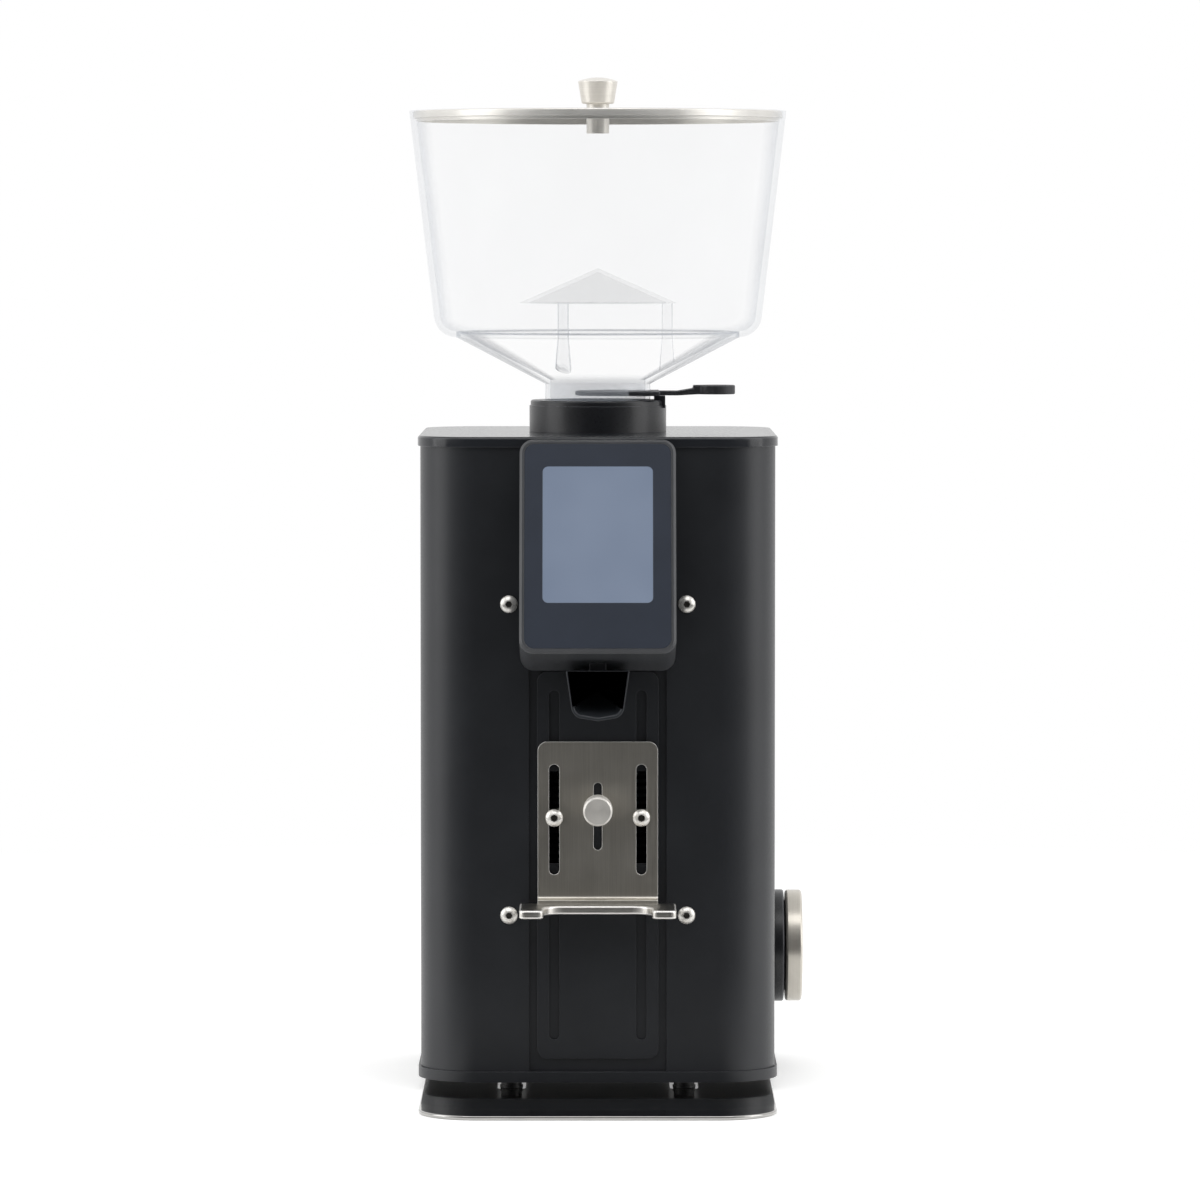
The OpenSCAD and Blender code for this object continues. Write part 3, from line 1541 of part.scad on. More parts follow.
base_tray();
foot_pads();
foot_studs();
base_plate();
frame_posts();
front_panel();
guide_plate();
body_sleeve();
sleeve_screws();
top_plate();
hopper_collar();
hopper();
hopper_funnel();
deflector();
shutter();
hopper_lid();
lid_knob();
lid_nut();
display_housing();
display_glass();
display_screen();
display_board();
display_screws();
spout();
spout_lamp();
bracket_plate();
fork();
bracket_screws();
bracket_nuts();
start_button();
button_bush();
button_spring();
micro_switch();
switch_plunger();
dial_plate();
dial_collar();
dial_knob();
dial_hub();
dial_shaft();
adjust_frame();
adjust_wedge();
push_rod();
motor_plate();
motor_stator();
motor_coils();
lower_end_cap();
upper_end_cap();
motor_bearings();
motor_shaft();
motor_rotor();
motor_fan();
burr_housing();
upper_burr_carrier();
upper_burr();
lower_burr();
lower_burr_carrier();
control_board();
power_inlet();
switch_body();
power_rocker();
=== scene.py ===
import json
import math

import bmesh
import bpy
from mathutils import Matrix, Vector

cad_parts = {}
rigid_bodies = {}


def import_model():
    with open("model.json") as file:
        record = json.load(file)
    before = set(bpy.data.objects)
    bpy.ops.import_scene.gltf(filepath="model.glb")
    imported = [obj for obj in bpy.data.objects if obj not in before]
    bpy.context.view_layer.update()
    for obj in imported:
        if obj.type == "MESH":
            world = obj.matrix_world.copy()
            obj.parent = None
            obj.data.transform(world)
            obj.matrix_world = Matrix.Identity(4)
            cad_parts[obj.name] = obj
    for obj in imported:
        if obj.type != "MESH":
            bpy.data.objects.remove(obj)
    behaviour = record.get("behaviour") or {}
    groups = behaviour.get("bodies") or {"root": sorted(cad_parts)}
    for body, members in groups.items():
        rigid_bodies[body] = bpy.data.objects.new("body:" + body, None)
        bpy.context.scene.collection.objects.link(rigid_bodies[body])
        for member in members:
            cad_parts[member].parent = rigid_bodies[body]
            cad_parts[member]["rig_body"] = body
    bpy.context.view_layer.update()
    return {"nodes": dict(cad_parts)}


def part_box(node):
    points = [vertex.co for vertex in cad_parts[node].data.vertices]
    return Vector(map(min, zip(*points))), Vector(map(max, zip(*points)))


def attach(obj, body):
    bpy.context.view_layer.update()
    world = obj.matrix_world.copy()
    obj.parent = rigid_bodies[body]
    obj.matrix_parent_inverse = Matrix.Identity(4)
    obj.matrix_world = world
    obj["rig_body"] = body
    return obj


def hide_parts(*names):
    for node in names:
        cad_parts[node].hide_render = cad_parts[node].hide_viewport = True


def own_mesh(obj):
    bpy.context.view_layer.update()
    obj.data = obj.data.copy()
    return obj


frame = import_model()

scene = bpy.context.scene
nodes = frame["nodes"]

# ---------------------------------------------------------------- studio
# A white paper floor that runs into a white surround, with a darker room behind the camera, so that
# flat fronts stay dark and rounded corners catch the light. Three soft boxes give the plain light.


def linear(code):
    """An sRGB hex colour as linear RGBA."""
    parts = [int(code[i:i + 2], 16) / 255 for i in (1, 3, 5)]
    return [p / 12.92 if p <= 0.04045 else ((p + 0.055) / 1.055) ** 2.4 for p in parts] + [1.0]


def add(tree, kind, sets=None, links=None, **attributes):
    """Adds one node with its own settings, the values of its sockets and the links into them."""
    node = tree.nodes.new(kind)
    for key, value in attributes.items():
        setattr(node, key, value)
    for key, value in (sets or {}).items():
        node.inputs[key].default_value = value
    for key, source in (links or {}).items():
        tree.links.new(source, node.inputs[key])
    return node


scene.view_settings.view_transform = "Standard"
# a line of sight through hopper, funnel and pegs crosses more than eight clear faces
scene.cycles.transparent_max_bounces = 32
surround = bpy.data.worlds.new("surround")
scene.world = surround
surround.use_nodes = True
tree = surround.node_tree
tree.nodes.clear()
direction = add(tree, "ShaderNodeTexCoord")
toward_camera = add(
    tree, "ShaderNodeVectorMath", {1: (0, -1, 0.02)}, {0: direction.outputs["Generated"]},
    operation="DOT_PRODUCT",
)
room = add(tree, "ShaderNodeValToRGB", links={"Fac": toward_camera.outputs["Value"]})
room.color_ramp.interpolation = "EASE"
room.color_ramp.elements[0].position = 0.45
room.color_ramp.elements[0].color = (1, 1, 1, 1)
room.color_ramp.elements[1].position = 1.0
room.color_ramp.elements[1].color = (0.03, 0.03, 0.032, 1)
for position, level in ((0.8, 0.42), (0.92, 0.05)):
    room.color_ramp.elements.new(position).color = (level, level, level * 1.01, 1)
rays = add(tree, "ShaderNodeLightPath")
through = add(
    tree, "ShaderNodeMath", {1: 0.6}, {0: rays.outputs["Is Transmission Ray"]}, operation="MULTIPLY"
)
seen = add(
    tree, "ShaderNodeMath", links={0: rays.outputs["Is Camera Ray"], 1: through.outputs[0]},
    operation="MAXIMUM",
)
white = add(
    tree, "ShaderNodeMix", {7: (1, 1, 1, 1)}, {0: seen.outputs[0], 6: room.outputs["Color"]}, data_type="RGBA"
)
sky = add(tree, "ShaderNodeBackground", {"Strength": 1.0}, {"Color": white.outputs[2]})
add(tree, "ShaderNodeOutputWorld", links={"Surface": sky.outputs[0]})

paper = bpy.data.materials.new("white_seamless_paper")
paper.use_nodes = True
tree = paper.node_tree
tree.nodes.clear()
place = add(tree, "ShaderNodeTexCoord").outputs["Object"]
# a trace of tooth in the paper, 2 mm across
tooth = add(tree, "ShaderNodeTexNoise", {"Scale": 500, "Detail": 2}, {"Vector": place})
tone = add(tree, "ShaderNodeValToRGB", links={"Fac": tooth.outputs["Fac"]})
tone.color_ramp.elements[0].color = linear("#EFEFEF")
tone.color_ramp.elements[1].color = linear("#F3F3F2")
rays = add(tree, "ShaderNodeLightPath")
# the lit paper ends a step in front, so that a polished face mirrors the dark room beyond it
front = add(tree, "ShaderNodeSeparateXYZ", links={0: place}).outputs["Y"]
beyond = add(
    tree, "ShaderNodeMapRange", {"From Min": -0.16, "From Max": -0.32, "To Min": 0, "To Max": 0.97},
    {"Value": front},
)
mirrored = add(
    tree, "ShaderNodeMath", links={0: beyond.outputs[0], 1: rays.outputs["Is Glossy Ray"]},
    operation="MULTIPLY",
).outputs[0]
shade = add(
    tree, "ShaderNodeMix", {7: (0.01, 0.01, 0.01, 1)}, {0: mirrored, 6: tone.outputs["Color"]},
    data_type="RGBA",
)
matt = add(tree, "ShaderNodeBsdfDiffuse", links={"Color": shade.outputs[2]})
seen = add(
    tree, "ShaderNodeMath", links={0: rays.outputs["Is Camera Ray"], 1: rays.outputs["Is Glossy Ray"]},
    operation="MAXIMUM",
)
seen = add(
    tree, "ShaderNodeMath", links={0: seen.outputs[0], 1: rays.outputs["Is Transmission Ray"]},
    operation="MAXIMUM",
)
lift = add(tree, "ShaderNodeMath", links={0: seen.outputs[0], 1: mirrored}, operation="SUBTRACT")
lift = add(tree, "ShaderNodeMath", {1: 0.3}, {0: lift.outputs[0]}, operation="MULTIPLY")
glow = add(tree, "ShaderNodeEmission", links={"Strength": lift.outputs[0]})
both = add(tree, "ShaderNodeAddShader", links={0: matt.outputs[0], 1: glow.outputs[0]})
# a metre away the sheet is the same white as the surround, so that no horizon shows through clear plastic
away = add(tree, "ShaderNodeVectorMath", links={0: place}, operation="LENGTH").outputs["Value"]
far = add(tree, "ShaderNodeMapRange", {"From Min": 0.45, "From Max": 1.1}, {"Value": away}).outputs[0]
clear_view = add(
    tree, "ShaderNodeMath", links={0: seen.outputs[0], 1: mirrored}, operation="SUBTRACT", use_clamp=True
)
fade = add(tree, "ShaderNodeMath", links={0: far, 1: clear_view.outputs[0]}, operation="MULTIPLY")
white_out = add(tree, "ShaderNodeEmission", {"Color": (1, 1, 1, 1), "Strength": 1})
sheet = add(
    tree, "ShaderNodeMixShader", links={0: fade.outputs[0], 1: both.outputs[0], 2: white_out.outputs[0]}
)
add(tree, "ShaderNodeOutputMaterial", links={"Surface": sheet.outputs[0]})

floor_half = 30
bm = bmesh.new()
bmesh.ops.create_grid(bm, x_segments=8, y_segments=8, size=floor_half)
mesh = bpy.data.meshes.new("floor")
bm.to_mesh(mesh)
bm.free()
mesh.materials.append(paper)
floor = bpy.data.objects.new("floor", mesh)
scene.collection.objects.link(floor)

# Soft boxes: name, place, what it points at, width, height, watts
for name, at, to, wide, high, power in [
    ("left_box", (-1.5, -0.35, 0.75), (0, 0, 0.2), 0.9, 1.5, 6.5),
    ("right_box", (1.5, -0.35, 0.75), (0, 0, 0.2), 0.9, 1.5, 6.5),
    ("top_box", (0, -0.9, 1.75), (0, 0, 0.25), 1.5, 0.8, 7.0),
]:
    lamp = bpy.data.lights.new(name, "AREA")
    lamp.shape = "RECTANGLE"
    lamp.size = wide
    lamp.size_y = high
    lamp.energy = power
    box = bpy.data.objects.new(name, lamp)
    scene.collection.objects.link(box)
    box.location = at
    box.rotation_euler = (Vector(to) - Vector(at)).to_track_quat("-Z", "Y").to_euler()

# Long lens from 2.9 m away, at the height of the hopper, tilted a little down
tilt_down = 3.1675
eye = bpy.data.cameras.new("camera")
eye.sensor_width = 36
eye.lens = 198.91
eye.clip_end = 100
camera = bpy.data.objects.new("camera", eye)
scene.collection.objects.link(camera)
camera.location = (0.00095, -2.9298, 0.3719)
camera.rotation_euler = (math.radians(90 - tilt_down), 0, 0)
scene.camera = camera

# ---------------------------------------------------------------- grounds tray
# Loose tray of 1.9 mm stainless sheet, laser-cut, polished to a mirror and rounded at its edges;
# it slides in from the front round the two front feet.


def blank(name):
    """A material with only its shader: the material, its tree, the shader and the place on the piece."""
    material = bpy.data.materials.new(name)
    material.use_nodes = True
    tree = material.node_tree
    tree.nodes.clear()
    shader = add(tree, "ShaderNodeBsdfPrincipled")
    add(tree, "ShaderNodeOutputMaterial", links={"Surface": shader.outputs[0]})
    place = add(tree, "ShaderNodeTexCoord").outputs["Object"]
    return material, tree, shader, place


def ramp(tree, factor, low, high, start=0.3, end=0.7):
    """Runs a factor from one colour to another between two points."""
    node = add(tree, "ShaderNodeValToRGB", links={"Fac": factor})
    for element, position, colour in zip(node.color_ramp.elements, (start, end), (low, high)):
        element.position = position
        element.color = linear(colour) if isinstance(colour, str) else (colour, colour, colour, 1)
    return node.outputs["Color"]


def welded(node):
    """A bmesh of a CAD node with its triangles welded and its flat faces made whole."""
    bm = bmesh.new()
    bm.from_mesh(nodes[node].data)
    bmesh.ops.remove_doubles(bm, verts=bm.verts, dist=2e-6)
    bmesh.ops.dissolve_limit(
        bm, angle_limit=math.radians(0.4), verts=bm.verts, edges=bm.edges, delimit=set(),
        use_dissolve_boundaries=False,
    )
    return bm


def break_edges(bm, width, segments=2, least=30):
    """Rounds every edge sharper than least degrees; the faces it makes carry 1 in an edge layer, read as wear
    by coats and as a painted highlight by brushed steel.
    """
    edge_wear_and_highlight = bm.faces.layers.float.get("edge_wear_and_highlight") or bm.faces.layers.float.new("edge_wear_and_highlight")
    sharp = [e for e in bm.edges if len(e.link_faces) == 2 and e.calc_face_angle(0) > math.radians(least)]
    made = bmesh.ops.bevel(
        bm, geom=sharp, offset=width, offset_type="OFFSET", affect="EDGES", segments=segments, profile=0.5,
        material=-1, clamp_overlap=True,
    )
    for face in made["faces"]:
        face[edge_wear_and_highlight] = 1


def finished(bm, name, material, node, replaces=True, smooth=38):
    """Makes the bmesh a piece that rides with a CAD node's body and stands for that node."""
    mesh = bpy.data.meshes.new(name)
    bm.to_mesh(mesh)
    bm.free()
    mesh.shade_smooth()
    mesh.set_sharp_from_angle(angle=math.radians(smooth))
    mesh.materials.append(material)
    piece = bpy.data.objects.new(name, mesh)
    scene.collection.objects.link(piece)
    normals = piece.modifiers.new("flat_faces_stay_flat", "WEIGHTED_NORMAL")
    normals.keep_sharp = True
    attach(piece, nodes[node]["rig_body"])
    if replaces:
        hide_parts(node)
    return piece


# Mirror-polished stainless steel: clear reflections with a faint swirl left by the buffing wheel
mirror_steel, tree, shader, place = blank("mirror_polished_stainless_steel")
shader.inputs["Metallic"].default_value = 1
swirl = add(
    tree, "ShaderNodeTexNoise", {"Scale": 1 / 0.012, "Detail": 6, "Roughness": 0.65}, {"Vector": place}
)
tree.links.new(ramp(tree, swirl.outputs["Fac"], "#A9A8A6", "#B8B6B3"), shader.inputs["Base Color"])
tree.links.new(ramp(tree, swirl.outputs["Fac"], 0.045, 0.085), shader.inputs["Roughness"])
buffing = add(
    tree, "ShaderNodeBump", {"Strength": 0.03, "Distance": 0.0002}, {"Height": swirl.outputs["Fac"]}
)
tree.links.new(buffing.outputs[0], shader.inputs["Normal"])

bm = welded("base_tray")
break_edges(bm, 0.0007, 3)
finished(bm, "grounds_tray", mirror_steel, "base_tray")

# ---------------------------------------------------------------- feet
# Four steel discs with a stud, turned and plated black, screwed up into the base plate; a moulded
# rubber pad is pressed on under each.

# Black rubber: dull, a little grey where dust sits in the moulded grain
rubber, tree, shader, place = blank("moulded_black_rubber")
shader.inputs["Roughness"].default_value = 0.82
dust = add(tree, "ShaderNodeTexNoise", {"Scale": 1 / 0.0015, "Detail": 5}, {"Vector": place})
tree.links.new(ramp(tree, dust.outputs["Fac"], "#161616", "#262524"), shader.inputs["Base Color"])
grain = add(tree, "ShaderNodeBump", {"Strength": 0.3, "Distance": 0.0001}, {"Height": dust.outputs["Fac"]})
tree.links.new(grain.outputs[0], shader.inputs["Normal"])

bm = welded("foot_pads")
break_edges(bm, 0.0004, 2)
finished(bm, "rubber_feet", rubber, "foot_pads")


def marked(tree, shader, mask, colour):
    """Lays a colour over the shader's own wherever the mask is 1."""
    own = shader.inputs["Base Color"].links[0].from_socket
    over = add(tree, "ShaderNodeMix", {7: linear(colour)}, {0: mask, 6: own}, data_type="RGBA").outputs[2]
    tree.links.new(over, shader.inputs["Base Color"])


def coated(name, low, high, rough, peel=0.0009, edge_wear_and_highlight="#3A3C40"):
    """A coat or a moulded skin: fine peel or grain, slight cloudiness, a paler rub along the edges."""
    material, tree, shader, place = blank(name)
    shader.inputs["IOR"].default_value = 1.5
    cloud = add(
        tree, "ShaderNodeTexNoise", {"Scale": 1 / 0.03, "Detail": 4}, {"Vector": place}
    ).outputs["Fac"]
    skin = add(tree, "ShaderNodeTexNoise", {"Scale": 1 / peel, "Detail": 3}, {"Vector": place}).outputs["Fac"]
    tree.links.new(ramp(tree, cloud, low, high, 0.35, 0.65), shader.inputs["Base Color"])
    edge = add(tree, "ShaderNodeAttribute", attribute_name="edge_wear_and_highlight").outputs["Fac"]
    patchy = add(
        tree, "ShaderNodeTexNoise", {"Scale": 1 / 0.004, "Detail": 5}, {"Vector": place}
    ).outputs["Fac"]
    rub = add(tree, "ShaderNodeMath", links={0: edge, 1: patchy}, operation="MULTIPLY").outputs[0]
    marked(tree, shader, rub, edge_wear_and_highlight)
    tree.links.new(ramp(tree, skin, rough - 0.04, rough + 0.05), shader.inputs["Roughness"])
    bump = add(tree, "ShaderNodeBump", {"Strength": 0.12, "Distance": 0.00006}, {"Height": skin})
    tree.links.new(bump.outputs[0], shader.inputs["Normal"])
    return material


def dress(material, *names):
    """Gives CAD nodes that keep their shape a finish."""
    for name in names:
        for holder in nodes[name].material_slots:
            holder.material = material


# Blackened steel: zinc-plated and passivated black, dull, with the plating's faint cloud
blackened = coated("black_passivated_steel", "#0F0F11", "#17171A", 0.42, 0.0006, "#3A3B3E")
dress(blackened, "foot_studs")

# ---------------------------------------------------------------- body
# Base plate, wrapped sleeve, inner front panel, guide plate and top plate: folded and laser-cut steel
# sheet, powder-coated satin black, the coat thinnest along cut edges. Four steel posts hold it together.

# Satin black powder coat: dark in front, silky grey where a corner turns to the light
black_coat = coated("satin_black_powder_coat", "#1C1E22", "#212327", 0.37)
# The same coat laid flat on the top plate flows smoother, so it mirrors the room at a low angle
gloss_coat = coated("smooth_black_powder_coat", "#1C1E22", "#212327", 0.18, 0.0014)

for node, name, width in [
    ("base_plate", "base_plate_coated", 0.0006),
    ("front_panel", "inner_front_coated", 0.0003),
    ("guide_plate", "guide_plate_coated", 0.00035),
    ("body_sleeve", "sleeve_coated", 0.0003),
    ("top_plate", "top_plate_coated", 0.00025),
]:
    bm = welded(node)
    break_edges(bm, width, 2)
    finished(bm, name, gloss_coat if node == "top_plate" else black_coat, node)

# Plain bright steel for posts, nuts, shafts and bearings: machined all over, seen only inside and from below
machined_steel, tree, shader, place = blank("machined_bright_steel")
shader.inputs["Metallic"].default_value = 1
tool = add(tree, "ShaderNodeTexNoise", {"Scale": 1 / 0.002, "Detail": 5}, {"Vector": place})
tree.links.new(ramp(tree, tool.outputs["Fac"], "#A9A7A2", "#C4C2BC"), shader.inputs["Base Color"])
tree.links.new(ramp(tree, tool.outputs["Fac"], 0.25, 0.4), shader.inputs["Roughness"])
dress(machined_steel, "frame_posts")

# A2 stainless button-head screws, tumbled bright: light domes; the faces of each hexagon socket are painted a
# darker grey, a painted shade in the recess
tumbled, tree, shader, place = blank("tumbled_stainless_screws")
shader.inputs["Metallic"].default_value = 0.75
mark = add(tree, "ShaderNodeTexNoise", {"Scale": 1 / 0.0012, "Detail": 4}, {"Vector": place}).outputs["Fac"]
tree.links.new(ramp(tree, mark, "#D2CFC9", "#ECEAE6"), shader.inputs["Base Color"])
socket_shade_mask = add(tree, "ShaderNodeAttribute", attribute_name="socket").outputs["Fac"]
# painted shade: the socket's faces are painted a darker grey
marked(tree, shader, socket_shade_mask, "#5E5B57")
tree.links.new(ramp(tree, mark, 0.24, 0.4), shader.inputs["Roughness"])
dent = add(tree, "ShaderNodeBump", {"Strength": 0.2, "Distance": 0.00004}, {"Height": mark})
tree.links.new(dent.outputs[0], shader.inputs["Normal"])
head_r = 0.0038
socket_r = 0.00147
socket_deep = 0.0016


def screws(node, name):
    """Button-head screws with their edges broken; the faces of each socket carry 1 in the layer socket, which
    paints shade into the recess.
    """
    bm = welded(node)
    socket = bm.faces.layers.float.new("socket")
    low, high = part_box(node)
    axes = [(x, z) for x in (low.x + head_r, high.x - head_r) for z in (low.z + head_r, high.z - head_r)]
    for face in bm.faces:
        at = face.calc_center_median()
        if at.y < low.y + socket_deep and min(math.hypot(at.x - x, at.z - z) for x, z in axes) < socket_r:
            face[socket] = 1
    break_edges(bm, 0.00012, 2, 25)
    finished(bm, name, tumbled, node)


screws("sleeve_screws", "sleeve_button_screws")

# ---------------------------------------------------------------- hopper collar
# Turned aluminium collar, anodised satin black. It stands on the top plate and holds the hopper's neck;
# its tube carries the beans down to the burrs.

# Anodised black: closer and silkier than the powder coat, grey where the edge has rubbed
anodised = coated("satin_black_anodised_aluminium", "#1B1C1F", "#212226", 0.3, 0.0004, "#44464B")
bm = welded("hopper_collar")
break_edges(bm, 0.0003, 2)
finished(bm, "collar_anodised", anodised, "hopper_collar")

# ---------------------------------------------------------------- bean hopper
# A moulded tub of clear copolyester, its rim ground flat for the lid, and under it a funnel with a neck;
# the two are cemented together, and a bean deflector stands on three pegs inside.


def clear(name, tint, facing, grazing, start):
    """Clear moulded plastic: each face holds back a little light, more where it is seen along its length."""
    material, tree, shader, place = blank(name)
    shader.inputs["IOR"].default_value = 1.57
    flow = add(tree, "ShaderNodeTexNoise", {"Scale": 1 / 0.03, "Detail": 2}, {"Vector": place}).outputs["Fac"]
    tree.links.new(ramp(tree, flow, tint, "#B9C1CC"), shader.inputs["Base Color"])
    tree.links.new(ramp(tree, flow, 0.03, 0.06), shader.inputs["Roughness"])
    bump = add(tree, "ShaderNodeBump", {"Strength": 0.02, "Distance": 0.0002}, {"Height": flow})
    tree.links.new(bump.outputs[0], shader.inputs["Normal"])
    slant = add(tree, "ShaderNodeLayerWeight", {"Blend": 0.5}).outputs["Facing"]
    hold = add(tree, "ShaderNodeValToRGB", links={"Fac": slant})
    hold.color_ramp.elements[0].color = (facing, facing, facing, 1)
    hold.color_ramp.elements[0].position = start
    hold.color_ramp.elements[1].color = (grazing, grazing, grazing, 1)
    hold.color_ramp.elements[1].position = 1.0
    tree.links.new(hold.outputs["Color"], shader.inputs["Alpha"])
    rays = add(tree, "ShaderNodeLightPath")
    pass_on = add(tree, "ShaderNodeBsdfTransparent", {"Color": (0.96, 0.965, 0.97, 1)})
    split = add(
        tree, "ShaderNodeMixShader",
        links={0: rays.outputs["Is Shadow Ray"], 1: shader.outputs[0], 2: pass_on.outputs[0]},
    )
    output = next(n for n in tree.nodes if n.bl_idname == "ShaderNodeOutputMaterial")
    tree.links.new(split.outputs[0], output.inputs["Surface"])
    return material


# Clear copolyester: white background straight through, grey only where a wall is seen along its length
copolyester = clear("clear_copolyester", "#8F98A6", 0.028, 0.3, 0.6)
bm = welded("hopper")
break_edges(bm, 0.0003, 2, 32)
finished(bm, "hopper_tub_clear", copolyester, "hopper", smooth=30)


def reopened(material):
    """The tree, the shader and the place on the piece of a material that gets more drawn on it."""
    tree = material.node_tree
    shader = next(n for n in tree.nodes if n.bl_idname == "ShaderNodeBsdfPrincipled")
    place = next(n for n in tree.nodes if n.bl_idname == "ShaderNodeTexCoord").outputs["Object"]
    return tree, shader, place


# The funnel below it is a piece of its own, seen a little heavier where its cone runs along the line of
# sight. Its flange is cemented under the tub, a thin blue-grey line; its neck is ground matt for the collar.
funnel_plastic = clear("clear_funnel_copolyester", "#3F4D66", 0.01, 0.95, 0.74)
neck_top = 0.0215
neck_matt = 0.017
flange_mid = 0.0004
flange_half = 0.0005
tree, shader, place = reopened(funnel_plastic)
slanted = shader.inputs["Alpha"].links[0].from_socket
height = add(tree, "ShaderNodeSeparateXYZ", links={0: place}).outputs["Z"]
low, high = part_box("hopper_funnel")
seam = add(
    tree, "ShaderNodeMath", {1: high.z - flange_mid, 2: flange_half}, {0: height}, operation="COMPARE"
).outputs[0]
neck = add(
    tree, "ShaderNodeMapRange", {"From Min": low.z + neck_top, "From Max": low.z + neck_matt},
    {"Value": height},
).outputs[0]
held = add(tree, "ShaderNodeMath", {1: 0.3, 2: 0}, {0: seam}, operation="MULTIPLY_ADD").outputs[0]
held = add(tree, "ShaderNodeMath", {1: 0.2}, {0: neck, 2: held}, operation="MULTIPLY_ADD").outputs[0]
held = add(tree, "ShaderNodeMath", links={0: slanted, 1: held}, operation="MAXIMUM").outputs[0]
tree.links.new(held, shader.inputs["Alpha"])
marked(tree, shader, neck, "#C3C8D0")
bm = welded("hopper_funnel")
break_edges(bm, 0.0003, 2, 32)
finished(bm, "hopper_funnel_clear", funnel_plastic, "hopper_funnel", smooth=30)

# Bean deflector: a cone blasted matt, which veils what is behind it, on three clear pegs glued in the funnel
peg_plastic = clear("clear_peg_copolyester", "#5D6B80", 0.03, 0.7, 0.5)
frosted, tree, shader, place = blank("frosted_copolyester")
shader.inputs["IOR"].default_value = 1.49
frost = add(tree, "ShaderNodeTexNoise", {"Scale": 1 / 0.0006, "Detail": 4}, {"Vector": place}).outputs["Fac"]
tree.links.new(ramp(tree, frost, "#D9DBDC", "#E6E7E8"), shader.inputs["Base Color"])
tree.links.new(ramp(tree, frost, 0.45, 0.6), shader.inputs["Roughness"])
shader.inputs["Alpha"].default_value = 0.09
cone_h = 0.0154
low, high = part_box("deflector")
cone_foot = high.z - cone_h
for name, material, keep_top in [("deflector_cone", frosted, True), ("deflector_pegs", peg_plastic, False)]:
    bm = welded("deflector")
    bmesh.ops.bisect_plane(
        bm, geom=bm.verts[:] + bm.edges[:] + bm.faces[:], dist=1e-7, plane_co=(0, 0, cone_foot),
        plane_no=(0, 0, 1), clear_inner=keep_top, clear_outer=not keep_top,
    )
    bmesh.ops.holes_fill(bm, edges=[e for e in bm.edges if e.is_boundary])
    finished(bm, name, material, "deflector", replaces=keep_top, smooth=30)

# Shutter blade: matt black polyamide with a fine spark-eroded grain
polyamide = coated("matt_black_polyamide", "#26272A", "#2D2E31", 0.5, 0.0003, "#4A4B4F")
bm = welded("shutter")
break_edges(bm, 0.0005, 3)
finished(bm, "shutter_blade", polyamide, "shutter")

# ---------------------------------------------------------------- lid
# Spun stainless lid, dropped into the tub's rim, with a turned stainless knob screwed through its
# middle and a nut beneath.


def turned(name, centre, axis, low, high, rough, pitch=0.00025, depth=0.00002, metallic=1):
    """Metal off the lathe: fine rings about its axis spread the highlights across them."""
    material, tree, shader, place = blank(name)
    shader.inputs["Metallic"].default_value = metallic
    shader.inputs["Anisotropic"].default_value = 0.6
    shader.inputs["Anisotropic Rotation"].default_value = 0.25
    arm = add(tree, "ShaderNodeVectorMath", {1: centre}, {0: place}, operation="SUBTRACT").outputs[0]
    along = add(tree, "ShaderNodeVectorMath", {1: axis}, {0: arm}, operation="DOT_PRODUCT").outputs["Value"]
    across = add(tree, "ShaderNodeVectorMath", {0: axis}, {1: arm}, operation="CROSS_PRODUCT").outputs[0]
    out = add(tree, "ShaderNodeVectorMath", links={0: across}, operation="LENGTH").outputs["Value"]
    lathe = add(tree, "ShaderNodeCombineXYZ", links={"X": out, "Y": along}).outputs[0]
    rings = add(
        tree, "ShaderNodeTexNoise", {"Scale": 1 / pitch, "Detail": 3, "Roughness": 0.7}, {"Vector": lathe}
    )
    cloud = add(tree, "ShaderNodeTexNoise", {"Scale": 1 / 0.009, "Detail": 3}, {"Vector": place})
    mixed = add(
        tree, "ShaderNodeMix", {0: 0.35}, {2: rings.outputs["Fac"], 3: cloud.outputs["Fac"]},
        data_type="FLOAT",
    ).outputs[0]
    tree.links.new(ramp(tree, mixed, low, high, 0.35, 0.65), shader.inputs["Base Color"])
    tree.links.new(ramp(tree, mixed, rough - 0.05, rough + 0.06), shader.inputs["Roughness"])
    bump = add(
        tree, "ShaderNodeBump", {"Strength": 0.35, "Distance": depth}, {"Height": rings.outputs["Fac"]}
    )
    tree.links.new(bump.outputs[0], shader.inputs["Normal"])
    world_way = add(
        tree, "ShaderNodeVectorTransform", links={0: across}, vector_type="VECTOR", convert_from="OBJECT",
        convert_to="WORLD",
    )
    tree.links.new(world_way.outputs[0], shader.inputs["Tangent"])
    return material


# Satin from the spinning: pale, with soft rings about the knob
spun_steel = turned(
    "spun_satin_stainless_lid", (0, 0, 0), (0, 0, 1), "#DAD7D0", "#ECE9E3", 0.36, 0.0006, metallic=0.72
)
bm = welded("hopper_lid")
break_edges(bm, 0.0003, 3)
finished(bm, "lid_spun", spun_steel, "hopper_lid")

# The knob is turned finer, so that it shines softer than the lid
satin_turned = turned(
    "satin_turned_stainless_knob", (0, 0, 0), (0, 0, 1), "#DAD7D1", "#ECE9E3", 0.42, metallic=0.6
)
for node, name in [("lid_knob", "knob_turned"), ("lid_nut", "lid_nut_turned")]:
    bm = welded(node)
    break_edges(bm, 0.0003, 3)
    finished(bm, name, satin_turned, node)

# ---------------------------------------------------------------- display head
# Moulded housing in ABS, painted satin slate and screwed to the panel from behind, with a printed cover
# glass let into its sloping face over a lit screen and its board. The place under the screen is bare.

# Satin slate paint: a shade lighter and softer than the powder coat round it
slate_coat = coated("satin_slate_paint_on_abs", "#36383B", "#3E3F42", 0.4, 0.0006, "#5B5D60")
bm = welded("display_housing")
break_edges(bm, 0.0003, 2)
finished(bm, "head_housing", slate_coat, "display_housing")

